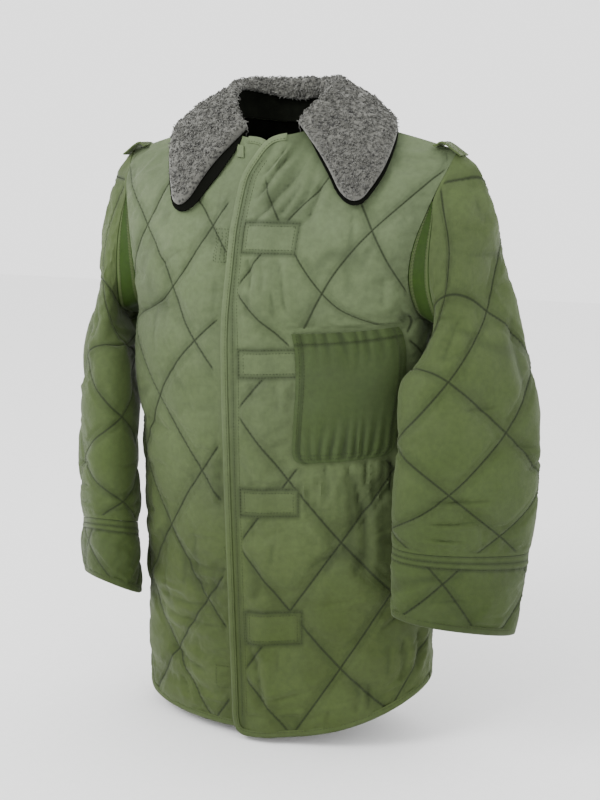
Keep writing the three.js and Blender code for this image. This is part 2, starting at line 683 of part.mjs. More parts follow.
/** Everything sewn to one armhole, with its directions shared along the seams. */
function buildSide(body, table, isLeft) {
  const side = isLeft ? 1 : -1;
  const frontNormals = gridNormals(body.front, { flip: !isLeft });
  const backEdge = (row) => (isLeft ? row[0] : row.at(-1));
  const sideRows = range(BODY.armRow);
  shareDirections(sideRows.map((j) => frontNormals[j].at(-1)), sideRows.map((j) => backEdge(backNormals[j])));
  const shoulderCols = range(BODY.shoulderCols);
  const frontTop = frontNormals[BODY.rows];
  const backTop = backNormals[BODY.rows];
  shareDirections(
    shoulderCols.map((n) => frontTop[BODY.frontCols - n]),
    shoulderCols.map((n) => (isLeft ? backTop[n] : backTop.at(-1 - n))));

  const armhole = armholeOf(body.front, body.back);
  const start = sleeveStart(armhole, side);
  const whole = sleeveGrid(start, table, side, isLeft ? SLEEVE.capLeft : SLEEVE.capRight);
  standClear(whole, isLeft);
  const wholeNormals = gridNormals(whole, { flip: isLeft, wrap: true });
  const gusset = gussetGrid(armhole, start);
  const gussetNormals = gridNormals(gusset, { flip: isLeft });

  const places = range(2 * GUSSET.halfCount).map((n) => (n - GUSSET.halfCount + armCount) % armCount);
  const backRows = backNormals.map((row) => [backEdge(row)]);
  const bodyNormals = armholeOf(frontNormals, backRows);
  bodyNormals.forEach((n, k) => {
    const inGusset = places.indexOf(k);
    const partner = inGusset >= 0 ? gussetNormals[0][inGusset] : wholeNormals[0][k];
    shareDirections([n], [partner]);
  });
  backEdge(backNormals[BODY.armRow]).copy(bodyNormals[0]);
  backEdge(backNormals[BODY.rows]).copy(bodyNormals[armCount / 2]);
  places.forEach((k, n) => shareDirections([gussetNormals[GUSSET.cols][n]], [wholeNormals[0][k]]));
  return { body, frontNormals, whole, wholeNormals, gusset, gussetNormals, isLeft };
}

const roughFronts = [left, right].map((body, n) => {
  const flip = n === 1;
  return new Wall(body.front, gridNormals(body.front, { flip }), frontThickness(n === 0), { flip });
});
const roughBack = new Wall(backGrid, backNormals, backThickness);
const bodySkin = [...roughFronts, roughBack].flatMap((wall) => wall.faces());

/** Keeps a hanging sleeve off the side of the body, more so away from the armhole. */
function standClear(whole, isLeft) {
  const sideSkin = bodySkin.filter((face) => (isLeft ? face.a.x > 120 : face.a.x < -120));
  whole.forEach((row, j) => {
    if (j < 2) return;
    const gap = SLEEVE.clear * smooth(j, 1, 8);
    standOff(row, sideSkin, gap);
  });
}

const leftSide = buildSide(left, LEFT_RINGS, true);
const rightSide = buildSide(right, RIGHT_RINGS, false);

/** Front, sleeve, cuff and gusset walls of one side. */
function sideWalls({ body, frontNormals, whole, wholeNormals, gusset, gussetNormals, isLeft }) {
  const quilted = (offset) => (j, i) => quiltRidge(j, i + offset);
  const sleeveRows = copyOf(whole.slice(0, SLEEVE.rows + 1));
  const turn = (row) => range(armCount).map((n) => row[(n + CUFF.vent) % armCount].clone());
  const cuffRows = whole.slice(SLEEVE.rows).map(turn);
  const cuffNormals = wholeNormals.slice(SLEEVE.rows).map(turn);
  cuffRows.forEach((row, j) => {
    const part = (CUFF.gapTop + ((CUFF.gapFoot - CUFF.gapTop) * j) / CUFF.rows) / 2;
    const [first, last] = [towards(row[0], row[1]), towards(row.at(-1), row.at(-2))];
    row[0].addScaledVector(first, part);
    row.at(-1).addScaledVector(last, part);
  });
  trim(body.front, { right: () => true, top: (i) => i >= BODY.frontCols - BODY.shoulderCols });
  trim(sleeveRows, { bottom: () => true, top: () => true });
  trim(cuffRows, { bottom: () => true });
  trim(gusset, { bottom: () => true, top: () => true }, SEAM);
  const sleeveThick = sleeveThickness(sleeveRows);
  return {
    front: new Wall(body.front, frontNormals, frontThickness(isLeft), {
      flip: !isLeft, plainRows: BODY.plainRows, ridge: quilted(-1),
    }),
    sleeve: new Wall(sleeveRows, wholeNormals.slice(0, SLEEVE.rows + 1), sleeveThick, {
      flip: isLeft, wrap: true, plainRows: SLEEVE.plainRows, ridge: quilted(2),
    }),
    cuff: new Wall(cuffRows, cuffNormals, (j) => CUFF_RIDGES[j], { flip: isLeft }),
    gusset: new Wall(gusset, gussetNormals, () => GUSSET.thick, { flip: isLeft }),
  };
}

const leftWalls = sideWalls(leftSide);
const rightWalls = sideWalls(rightSide);
trim(backGrid, {
  left: () => true,
  right: () => true,
  top: (i) => Math.abs(i - BODY.halfBackCols) >= BODY.halfBackCols - BODY.shoulderCols,
});
const backWall = new Wall(backGrid, backNormals, backThickness, {
  plainRows: BODY.plainRows, ridge: quiltRidge,
});
const finishedSkin = [leftWalls.front, rightWalls.front, backWall].flatMap((wall) => wall.faces());

// ---------------------------------------------------------------- collar
/** Neckline of one side from the centre back to the collar's front end. */
function collarLine(isLeft) {
  const front = neckline(true).map((p) => p.clone());
  if (isLeft) liftEdge([front]);
  const kept = evenly(front, 100).slice(Math.round(COLLAR_END[isLeft ? "left" : "right"] * 100));
  return [...neckline(false), ...kept.reverse().slice(1)];
}

/** Evens a grid's inner points from a row onwards, each drawn half way to the middle of its neighbours. */
function relax(grid, firstRow) {
  const before = copyOf(grid);
  for (let j = firstRow; j < grid.length - 1; j += 1) {
    for (let i = 1; i < grid[j].length - 1; i += 1) {
      const middle = before[j - 1][i].clone().add(before[j + 1][i]).add(before[j][i - 1]).add(before[j][i + 1]);
      grid[j][i].lerp(middle.multiplyScalar(0.25), 0.5);
    }
  }
}

/** The sheet on which the two collar layers meet: rows from the neckline over the fold to the edge. */
function collarGrid() {
  const half = COLLAR.cols / 2;
  const lines = { left: evenly(collarLine(true), half), right: evenly(collarLine(false), half) };
  const columns = range(COLLAR.cols).map((n) => {
    const isLeft = n >= half;
    const side = isLeft ? 1 : -1;
    const place = Math.abs(n - half);
    const along = place / half;
    const neck = lines[isLeft ? "left" : "right"][place];
    const out = vec(neck.x, neck.y - 4, 0).normalize();
    const [height, lean] = readTable(STAND, "along", ["height", "lean"], along);
    const edge = vec(...readTable(isLeft ? FALL_LEFT : FALL_RIGHT, "along", ["x", "y", "z"], along));
    const foot = neck.clone().add(vec(0, 0, 0.6)).addScaledVector(out, -COLLAR.inset);
    const fold = foot.clone().add(vec(0, 0, height)).addScaledVector(out, lean);
    const fallWay = vec(edge.x - fold.x, edge.y - fold.y, 0).normalize();
    const over = out.clone().lerp(fallWay, along ** 3).normalize();
    const bend = Math.min(COLLAR.bend, height * 0.3);
    const beyond = shifted(fold, over, bend).add(vec(0, 0, -bend));
    const bulge = shifted(between(beyond, edge, 0.45), over, 5).add(vec(0, 0, 5));
    const points = [
      foot,
      between(foot, fold, 0.5).addScaledVector(out, -lean * 0.2),
      shifted(fold, over, -bend).add(vec(0, 0, -bend)),
      fold,
      beyond,
      bulge,
      edge,
    ];
    const mirror = (p) => vec(p.x * side, p.y, p.z);
    return range(COLLAR.across).map((row) => mirror(pointThrough(COLLAR_KEYS, points, row)));
  });
  const grid = range(COLLAR.across).map((row) => columns.map((column) => column[row]));
  for (let pass = 0; pass < 3; pass += 1) {
    if (pass > 0) relax(grid, 6);
    grid.forEach((row, j) => {
      if (j > 6) standOff(row, finishedSkin, COLLAR.rest);
    });
  }
  return grid;
}

const collar = collarGrid();
const collarNormals = gridNormals(collar);
const raised = (grid, normals, by) => grid.map((row, j) => row.map((p, i) => shifted(p, normals[j][i], by)));
const collarFur = new Wall(raised(collar, collarNormals, COLLAR.gap / 2), collarNormals, (j, i) =>
  COLLAR.furEdge + (COLLAR.fur - COLLAR.furEdge) * fromEnds(j, COLLAR.across, 1) * fromEnds(i, COLLAR.cols, 1));
const underCollar = new Wall(
  raised(collar, collarNormals, -COLLAR.gap / 2 - COLLAR.under), collarNormals, () => COLLAR.under);

// ---------------------------------------------------------------- pieces lying on the panels
/** Place on a wall's outer skin between its grid lines, with its direction. */
function onSkin(wall, j, i) {
  const [j0, i0] = [Math.min(Math.floor(j), wall.rows - 1), Math.min(Math.floor(i), wall.cols - 1)];
  const mix = (grid) => between(
    between(grid[j0][i0], grid[j0][i0 + 1], i - i0),
    between(grid[j0 + 1][i0], grid[j0 + 1][i0 + 1], i - i0), j - j0);
  return { point: mix(wall.outer), direction: mix(wall.normals).normalize() };
}

/** A sheet lying on a wall between the given grid lines, raised by `lift(row, column)`. */
function patchOn(wall, rows, cols, lift, thick) {
  const places = rows.map((j) => cols.map((i) => onSkin(wall, j, i)));
  const grid = places.map((row, j) =>
    row.map(({ point, direction }, i) => shifted(point, direction, lift(j, i))));
  const normals = places.map((row) => row.map(({ direction }) => direction));
  return new Wall(grid, normals, () => thick, { flip: wall.flip });
}

const pocket = patchOn(leftWalls.front, POCKET_ROWS, POCKET_COLS, (j, i) => {
  const [rows, cols] = [POCKET_ROWS.length - 1, POCKET_COLS.length - 1];
  const upwards = Math.sin((Math.PI * POCKET.mouth * j) / rows) ** 0.7;
  return POCKET.gap + POCKET.sag * upwards * Math.sin((Math.PI * i) / cols) ** 0.7;
}, POCKET.thick);
for (const skin of [pocket.grid, pocket.outer]) {
  roundCorner(skin, 0, 0, 0.3);
  roundCorner(skin, 0, POCKET_COLS.length - 1, 0.3);
}
const throatTab = patchOn(rightWalls.front, TAB.rows, TAB.cols, () => TAB.gap, TAB.thick);

/** A folded band standing over the shoulder end, from its stitched foot to its outer edge. */
function shoulderLoop(isLeft) {
  const side = isLeft ? 1 : -1;
  const grid = LOOP.path.map(([x, z]) => LOOP.across.map((y) => vec(x * side, y, z)));
  const sleeveSkin = (isLeft ? leftWalls : rightWalls).sleeve.faces();
  grid.forEach((row) => standOff(row, [...finishedSkin, ...sleeveSkin], LOOP.gap));
  return new Wall(grid, gridNormals(grid, { flip: isLeft }), () => LOOP.thick, { flip: isLeft });
}

// ---------------------------------------------------------------- bound edges
/** Section of a folded tape around a wall's edge, as eight points: outer flap, edge, inner flap. */
function tapeSection(wall, [j, i, dj, di]) {
  const outer = onSkin(wall, j, i);
  const next = onSkin(wall, j + dj, i + di);
  const mixInner = (row, col) => {
    const low = Math.floor(col);
    return col === low ? wall.grid[row][low] : between(wall.grid[row][low], wall.grid[row][low + 1], col - low);
  };
  const [innerEdge, innerNext] = [mixInner(j, i), mixInner(j + dj, i + di)];
  const length = TAPE.wrap * (dj !== 0 && di !== 0 ? 1.4 : 1);
  const n = outer.direction;
  const inwards = towards(outer.point, next.point);
  const innerInwards = towards(innerEdge, innerNext);
  const full = TAPE.gap + TAPE.thick;
  const inner = TAPE.innerGap;
  return [
    shifted(shifted(outer.point, inwards, length), n, TAPE.gap),
    shifted(shifted(outer.point, inwards, length), n, full),
    shifted(shifted(outer.point, innerInwards, -full * 0.7), n, full),
    shifted(shifted(innerEdge, innerInwards, -full * 0.7), n, -inner - TAPE.thick),
    shifted(shifted(innerEdge, innerInwards, length), n, -inner - TAPE.thick),
    shifted(shifted(innerEdge, innerInwards, length), n, -inner),
    shifted(shifted(innerEdge, innerInwards, -TAPE.gap), n, -inner),
    shifted(shifted(outer.point, innerInwards, -TAPE.gap), n, TAPE.gap),
  ];
}

/** Closed tape along a run of edge places. */
function boundEdge(wall, places) {
  const sections = places.map((place) => tapeSection(wall, place));
  const points = sections.flat();
  const faces = [];
  const quad = (a, b, c, d) => faces.push([a, b, c], [a, c, d]);
  for (let s = 0; s < sections.length - 1; s += 1) {
    for (let n = 0; n < 8; n += 1) {
      const m = (n + 1) % 8;
      quad(8 * s + n, 8 * s + m, 8 * (s + 1) + m, 8 * (s + 1) + n);
    }
  }
  const end = 8 * (sections.length - 1);
  for (const [a, b, c, d] of [[0, 1, 2, 7], [2, 3, 6, 7], [3, 4, 5, 6]]) {
    quad(d, c, b, a);
    quad(end + a, end + b, end + c, end + d);
  }
  const volume = faces.reduce((sum, [a, b, c]) =>
    sum + points[a].clone().cross(points[b]).dot(points[c]), 0);
  return solidGeometry(points, volume > 0 ? faces : faces.map(([a, b, c]) => [a, c, b]));
}

/** Hem, front edge and neck edge of a front panel, in one run with turned corners. */
function frontEdgePlaces(neckEnd) {
  const places = range(BODY.frontCols - 1).map((n) => [0, BODY.frontCols - n, 1, 0]);
  places.push([0, 0, 1, 1]);
  for (let j = 1; j < BODY.rows; j += 1) places.push([j, 0, 0, 1]);
  places.push([BODY.rows, 0, -1, 1]);
  for (let i = 1; i < neckEnd; i += 1) places.push([BODY.rows, i, -1, 0]);
  places.push([BODY.rows, neckEnd, -1, 0]);
  return places;
}

/** Both vent edges and the open edge of a cuff. */
function cuffEdgePlaces() {
  const [rows, cols] = [CUFF.rows, armCount];
  return [
    ...range(rows - 1).map((j) => [j, 0, 0, 1]),
    [rows, 0, -1, 1],
    ...range(cols - 2).map((n) => [rows, n + 1, -1, 0]),
    [rows, cols, -1, -1],
    ...range(rows - 1).map((n) => [rows - 1 - n, cols, 0, -1]),
  ];
}

const hemPlaces = range(2 * BODY.halfBackCols).map((i) => [0, i, 1, 0]);

// ---------------------------------------------------------------- the jacket
const COLOURS = {
  shell: 0x6c7958,
  front: 0x717e5d,
  sleeve: 0x5f6f4b,
  cuff: 0x57683e,
  pocket: 0x566341,
  gusset: 0x43560f,
  tape: 0x5c6b4c,
  fur: 0x6a6966,
  under: 0x4c5938,
  tab: 0x8b9578,
};

/** Named mesh with a material of its own. */
function piece(name, geometry, colour, roughness) {
  const material = new THREE.MeshStandardMaterial({ color: colour, roughness, metalness: 0 });
  const mesh = new THREE.Mesh(geometry, material);
  mesh.name = name;
  return mesh;
}

const jacket = new THREE.Group();
jacket.name = "padded_jacket";
jacket.add(
  piece("back_panel", backWall.geometry(), COLOURS.shell, 0.8),
  piece("front_left", leftWalls.front.geometry(), COLOURS.front, 0.8),
  piece("front_right", rightWalls.front.geometry(), COLOURS.front, 0.8),
  piece("sleeve_left", leftWalls.sleeve.geometry(), COLOURS.sleeve, 0.8),
  piece("sleeve_right", rightWalls.sleeve.geometry(), COLOURS.sleeve, 0.8),
  piece("cuff_left", leftWalls.cuff.geometry(), COLOURS.cuff, 0.8),
  piece("cuff_right", rightWalls.cuff.geometry(), COLOURS.cuff, 0.8),
  piece("gusset_left", leftWalls.gusset.geometry(), COLOURS.gusset, 0.9),
  piece("gusset_right", rightWalls.gusset.geometry(), COLOURS.gusset, 0.9),
  piece("collar_fur", collarFur.geometry(), COLOURS.fur, 1),
  piece("under_collar", underCollar.geometry(), COLOURS.under, 0.85),
  piece("chest_pocket", pocket.geometry(), COLOURS.pocket, 0.8),
  piece("shoulder_loop_left", shoulderLoop(true).geometry(), COLOURS.shell, 0.8),
  piece("shoulder_loop_right", shoulderLoop(false).geometry(), COLOURS.shell, 0.8),
  piece("throat_tab", throatTab.geometry(), COLOURS.tab, 0.8),
  piece("tape_back_hem", boundEdge(backWall, hemPlaces), COLOURS.tape, 0.85),
  piece("tape_front_left", boundEdge(leftWalls.front, frontEdgePlaces(NECK_TAPE.left)), COLOURS.tape, 0.85),
  piece("tape_front_right", boundEdge(rightWalls.front, frontEdgePlaces(NECK_TAPE.right)), COLOURS.tape, 0.85),
  piece("tape_cuff_left", boundEdge(leftWalls.cuff, cuffEdgePlaces()), COLOURS.tape, 0.85),
  piece("tape_cuff_right", boundEdge(rightWalls.cuff, cuffEdgePlaces()), COLOURS.tape, 0.85),
);

export default jacket;
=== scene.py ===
"""Padded jacket with a pile collar, worn shape, empty: quilted cloth, bindings, pocket, pile and sewing.

Lengths are in millimetres until a mesh is made, then in metres. +X is the wearer's left, -Y the front, +Z up.
The origin lies between the two neck points.
"""
import logging
import math
from dataclasses import dataclass, field
from enum import Enum
from typing import Callable, Sequence

import bpy
import numpy as np
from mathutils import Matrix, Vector
from mathutils.bvhtree import BVHTree


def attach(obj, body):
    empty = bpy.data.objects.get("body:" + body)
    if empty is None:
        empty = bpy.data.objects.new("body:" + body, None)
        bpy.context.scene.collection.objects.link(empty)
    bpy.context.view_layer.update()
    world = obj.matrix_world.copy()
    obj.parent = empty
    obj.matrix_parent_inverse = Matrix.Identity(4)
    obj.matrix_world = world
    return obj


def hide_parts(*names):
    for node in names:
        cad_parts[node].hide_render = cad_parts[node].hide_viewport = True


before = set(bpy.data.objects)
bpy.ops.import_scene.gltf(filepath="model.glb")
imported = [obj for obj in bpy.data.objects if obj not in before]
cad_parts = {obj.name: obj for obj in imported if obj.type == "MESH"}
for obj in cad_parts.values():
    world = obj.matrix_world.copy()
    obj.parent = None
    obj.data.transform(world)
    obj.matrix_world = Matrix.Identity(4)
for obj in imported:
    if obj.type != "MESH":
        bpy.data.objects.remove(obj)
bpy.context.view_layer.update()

LOG = logging.getLogger("padded_jacket")
MM = 0.001
Array = np.ndarray
Piece = bpy.types.Object
Socket = bpy.types.NodeSocket
Table = tuple[tuple[float, ...], ...]
# Scales places before noise is read, so that the noise runs up and down.
UPRIGHT = (0.35, 0.35, 1.0)


# ---- curves
def smoothstep(x: Array | float, low: float, high: float) -> Array:
    """0 below low, 1 above high, and the cubic 3t^2 - 2t^3 between them."""
    t = np.clip((np.asarray(x, float) - low) / (high - low), 0, 1)
    return t * t * (3 - 2 * t)


def unit(v: Array) -> Array:
    """Vectors divided by their own lengths, along the last axis."""
    return v / np.maximum(np.linalg.norm(v, axis=-1, keepdims=True), 1e-9)


def bell(x: Array, width: float) -> Array:
    """1 at 0, falling away on both sides as exp(-(x / width)^2)."""
    return np.exp(-((x / width) ** 2))


def spans(grid: Array, axis: int) -> Array:
    """Lengths of the steps between neighbouring points along one axis of a grid."""
    return np.linalg.norm(np.diff(grid, axis=axis), axis=-1)


def travelled(path: Array) -> Array:
    """Length along a path up to each of its points."""
    return np.r_[0, np.cumsum(spans(path, 0))]


def read_along(values: Array, length: Array, at: Array) -> Array:
    """Values of a path read at given lengths along it, straight between its points."""
    return np.stack([np.interp(at, length, values[:, k]) for k in range(3)], -1)


def through_keys(keys: Sequence[float], values: Array, at: Array) -> Array:
    """Smooth curve through values standing at rising keys.

    Cubic Hermite pieces: the slope at a key is the mean of its two neighbours' slopes, each weighted by
    the other's span.

    Args:
        keys: rising positions.
        values: one array per key, of any shape.
        at: positions where the curve is read.

    Returns:
        One array per entry of `at`.
    """
    keys = np.asarray(keys, float)
    values = np.asarray(values, float)
    at = np.atleast_1d(np.asarray(at, float))
    span = np.diff(keys)
    pad = (1,) * (values.ndim - 1)
    rise = np.diff(values, axis=0) / span.reshape((-1,) + pad)
    slope = np.empty_like(values)
    slope[0], slope[-1] = rise[0], rise[-1]
    share = (span[:-1] / (span[:-1] + span[1:])).reshape((-1,) + pad)
    slope[1:-1] = rise[:-1] * (1 - share) + rise[1:] * share
    n = np.clip(np.searchsorted(keys, at, side="right") - 1, 0, len(keys) - 2)
    t = ((at - keys[n]) / span[n]).reshape((-1,) + pad)
    size = span[n].reshape((-1,) + pad)
    start = 2 * t**3 - 3 * t**2 + 1
    return (start * values[n] + (t**3 - 2 * t**2 + t) * size * slope[n]
            + (1 - start) * values[n + 1] + (t**3 - t**2) * size * slope[n + 1])


def cubic(a: Array, b: Array, c: Array, d: Array, t: Array) -> Array:
    """The cubic Bezier curve with four control points, at shares t."""
    return (1 - t) ** 3 * a + 3 * (1 - t) ** 2 * t * b + 3 * (1 - t) * t * t * c + t**3 * d


def bezier(*controls: Array) -> Array:
    """61 points of the cubic Bezier curve with the four given control points."""
    return cubic(*(np.asarray(p, float) for p in controls), np.linspace(0, 1, 61)[:, None])


def evenly(points: Array, steps: int) -> Array:
    """Points at even lengths along a polyline, ends included."""
    length = travelled(points)
    return read_along(points, length, np.linspace(0, length[-1], steps + 1))


def begun_past(points: Array, past: float) -> Array:
    """A curve running from x = 0 outwards, begun instead at x = -past on its own mirrored lead."""
    lead = points[(points[:, 0] > 1) & (points[:, 0] < past)][::-1] * [-1, 1, 1]
    start = points[points[:, 0] >= past][0]
    return np.vstack([[[-past, start[1], start[2]]], lead, points])


def refined(grid: Array, rows: int, cols: int, wrap: bool = False) -> Array:
    """A grid read at `rows` by `cols` steps in each of its cells, smooth through its own points."""
    count = grid.shape[0]
    fine = through_keys(np.arange(count), grid, np.arange((count - 1) * rows + 1) / rows)
    across = np.swapaxes(fine, 0, 1)
    width = across.shape[0]
    if wrap:
        across = np.concatenate([across[-2:], across, across[:3]])
        at = 2 + np.arange(width * cols) / cols
        return np.swapaxes(through_keys(np.arange(width + 5), across, at), 0, 1)
    at = np.arange((width - 1) * cols + 1) / cols
    return np.swapaxes(through_keys(np.arange(width), across, at), 0, 1)


def grid_normals(grid: Array, flip: bool = False, wrap: bool = False) -> Array:
    """Unit normals: the step along a row crossed with the step along a column."""
    if wrap:
        along = np.roll(grid, -1, 1) - np.roll(grid, 1, 1)
    else:
        along = np.concatenate([grid[:, 1:2] - grid[:, :1], grid[:, 2:] - grid[:, :-2],
                                grid[:, -1:] - grid[:, -2:-1]], 1)
    up = np.concatenate([grid[1:2] - grid[:1], grid[2:] - grid[:-2], grid[-1:] - grid[-2:-1]], 0)
    return unit(np.cross(along, up)) * (-1 if flip else 1)


def sample(grid: Array, v: Array, u: Array) -> Array:
    """Grid values between its lines, bilinear, at fractional rows v and columns u."""
    v = np.clip(v, 0, grid.shape[0] - 1)
    u = np.clip(u, 0, grid.shape[1] - 1)
    j = np.minimum(v.astype(int), grid.shape[0] - 2)
    i = np.minimum(u.astype(int), grid.shape[1] - 2)
    t, s = (v - j)[..., None], (u - i)[..., None]
    return ((1 - t) * (1 - s) * grid[j, i] + (1 - t) * s * grid[j, i + 1]
            + t * (1 - s) * grid[j + 1, i] + t * s * grid[j + 1, i + 1])


def lattice_noise(points: Array, size: float, seed: int) -> Array:
    """Smooth noise from -1 to 1: hashed values at the corners of cubes of `size`, blended by smoothstep."""
    p = np.asarray(points, float) / size + 1000.0 * (seed + 1) * np.array([0.13, 0.37, 0.71])
    base = np.floor(p).astype(np.int64)
    f = p - base
    f = f * f * (3 - 2 * f)
    total = np.zeros(p.shape[:-1])
    for corner in np.ndindex(2, 2, 2):
        x, y, z = (base[..., k] + corner[k] for k in range(3))
        h = (x * 374761393 + y * 668265263 + z * 2147483647 + seed * 974711) & 0x7FFFFFFF
        h = ((h ^ (h >> 13)) * 1274126177) & 0x7FFFFFFF
        value = ((h ^ (h >> 16)) & 0xFFFF) / 32767.5 - 1
        wx, wy, wz = (f[..., k] if corner[k] else 1 - f[..., k] for k in range(3))
        total += value * wx * wy * wz
    return total


# ---- the cut
@dataclass(frozen=True)
class BodyCut:
    """Sizes of the body panels, as tables of level sections.

    Columns: grid row, centre line y and z, edge x, y and z, heading at the edge, handles at centre and edge.
    """

    rows: int = 37
    arm_row: int = 25
    front_cols: int = 17
    half_back_cols: int = 16
    shoulder_cols: int = 10
    overlap: float = 25.0
    lift: float = 8.0
    neck_lift: float = 4.0
    cell: tuple[float, float] = (23.4, 14.4)
    front: Table = (
        (0, -111, -878, 236, 6, -872, 90, 126, 60),
        (9, -124, -668, 236, 8, -660, 90, 127, 66),
        (17, -134, -480, 236, 8, -472, 90, 128, 80),
        (25, -138, -300, 236, 8, -284, 90, 128, 96),
        (27, -136, -260, 228, -38, -269, 76, 124, 52),
        (29, -131, -219, 223, -60, -226, 66, 120, 38),
        (31, -123, -176, 229, -61, -180, 58, 114, 36),
        (33, -110, -131, 241, -48, -138, 48, 108, 36),
        (35, -92, -84, 255, -28, -94, 34, 100, 38),
    )
    back: Table = (
        (0, 119, -872, 236, 6, -872, -90, 126, 62),
        (9, 118, -660, 236, 8, -660, -90, 127, 66),
        (17, 117, -472, 236, 8, -472, -90, 128, 66),
        (25, 116, -288, 236, 8, -284, -90, 130, 66),
        (27, 116, -246, 230, 48, -268, -72, 128, 44),
        (29, 115, -202, 227, 70, -226, -52, 124, 36),
        (31, 112, -156, 232, 74, -180, -42, 118, 34),
        (33, 107, -108, 243, 66, -138, -40, 110, 34),
        (35, 96, -58, 255, 50, -94, -36, 100, 34),
    )
    neck_side: tuple[float, float, float] = (80, 8, 0)
    shoulder_end: tuple[float, float, float] = (266, 12, -50)
    hem_drop: float = -8.0
    hem_per_x: float = 0.055
    hem_per_y: float = 0.18
    hem_fade: float = 1.3
    hem_left_extra: float = -9.0
    hem_left_side: float = 36.0

    def level(self, row: tuple[float, ...]) -> Array:
        """One level curve from the centre line to the side edge, a Bezier curve."""
        _, yc, zc, ex, ey, ez, heading, hc, he = row
        centre, edge = np.array([0.0, yc, zc]), np.array([ex, ey, ez], float)
        way = np.array([math.cos(math.radians(heading)), math.sin(math.radians(heading)), 0])
        rise = ez - zc
        return bezier(centre, centre + [hc, 0, rise * 0.15], edge - way * he - [0, 0, rise * 0.25], edge)

    def neckline(self, is_front: bool) -> Array:
        """Neckline from the centre line to the neck point."""
        if is_front:
            return bezier((0, -66, -32), (44, -66, -32), (78, -36, -14), self.neck_side)
        return bezier((0, 72, -6), (45, 72, -6), (80, 44, 2), self.neck_side)

    def shoulder(self) -> Array:
        """Shoulder seam from the neck point to the armhole."""
        return bezier(self.neck_side, (135, 10, -14), (211, 12, -31), self.shoulder_end)

    def half(self, table: Table, is_front: bool, cols: int, past: float) -> Array:
        """Grid of a half panel: rows from hem to shoulder, columns from the centre to the side."""
        levels = [evenly(begun_past(self.level(r), past) if past else self.level(r), cols) for r in table]
        neck = self.neckline(is_front)
        neck = begun_past(neck, past * 0.6) if past else neck
        top = np.vstack([evenly(neck, cols - self.shoulder_cols),
                         evenly(self.shoulder(), self.shoulder_cols)[1:]])
        keys = [r[0] for r in table] + [self.rows]
        return through_keys(keys, np.array([*levels, top]), np.arange(self.rows + 1))

    def joined(self) -> tuple[Array, Array]:
        """Front and half back on one shared side seam, the change fading across each panel."""
        front = self.half(self.front, True, self.front_cols, self.overlap)
        back = self.half(self.back, False, self.half_back_cols, 0)
        below = np.arange(self.arm_row + 1)
        middle = (front[below, -1] + back[below, -1]) / 2
        for grid in (front, back):
            change = middle - grid[below, -1]
            fade = (np.arange(grid.shape[1]) / (grid.shape[1] - 1)) ** 4
            grid[below] += change[:, None] * fade[None, :, None]
        return front, back

    def hung(self, grid: Array, side: int, extra: float, side_rise: float) -> Array:
        """The panel hung: lower rows drop with their place round the body, and rise towards one side."""
        share = np.clip(1 - np.arange(grid.shape[0]) / self.arm_row, 0, 1) ** self.hem_fade
        centre = 1 - (np.arange(grid.shape[1]) / (grid.shape[1] - 1)) ** 2
        drop = self.hem_drop + self.hem_per_x * grid[..., 0] * side + self.hem_per_y * grid[..., 1]
        drop = drop + extra * centre + side_rise * (np.abs(grid[..., 0]) / 236) ** 3
        grid = grid.copy()
        grid[..., 2] += share[:, None] * drop
        return grid

    def lifted(self, grid: Array) -> Array:
        """The lapping edge stands off the edge beneath it, more near the neck."""
        share = smoothstep(62 - grid[..., 0], 0, 36)
        near_neck = share * smoothstep(grid[..., 2], -150, -60) * self.neck_lift
        grid = grid.copy()
        z = grid[..., 2].copy()
        back = 6 * smoothstep(z, -320, -180) + 6 * smoothstep(z, -160, -80) + 14 * smoothstep(z, -95, -40)
        grid[..., 0] += back * smoothstep(62 - grid[..., 0], 0, 60)
        grid[..., 1] -= self.lift * share + near_neck * 0.3
        grid[..., 2] += near_neck
        return grid

    def side(self, is_left: bool) -> tuple[Array, Array]:
        """Front and half back of one side of the wearer."""
        front, back = self.joined()
        rise = self.hem_left_side if is_left else 0.0
        sign = 1 if is_left else -1
        front = self.hung(front, sign, self.hem_left_extra if is_left else 0.0, rise)
        back = self.hung(back, sign, 0.0, rise)
        if is_left:
            front = self.lifted(front)
        front[0, 0] += (front[1, 1] - front[0, 0]) * 0.22
        front[-1, 0] += (front[-2, 1] - front[-1, 0]) * 0.3
        if is_left:
            return front, back
        return front * [-1, 1, 1], back * [-1, 1, 1]


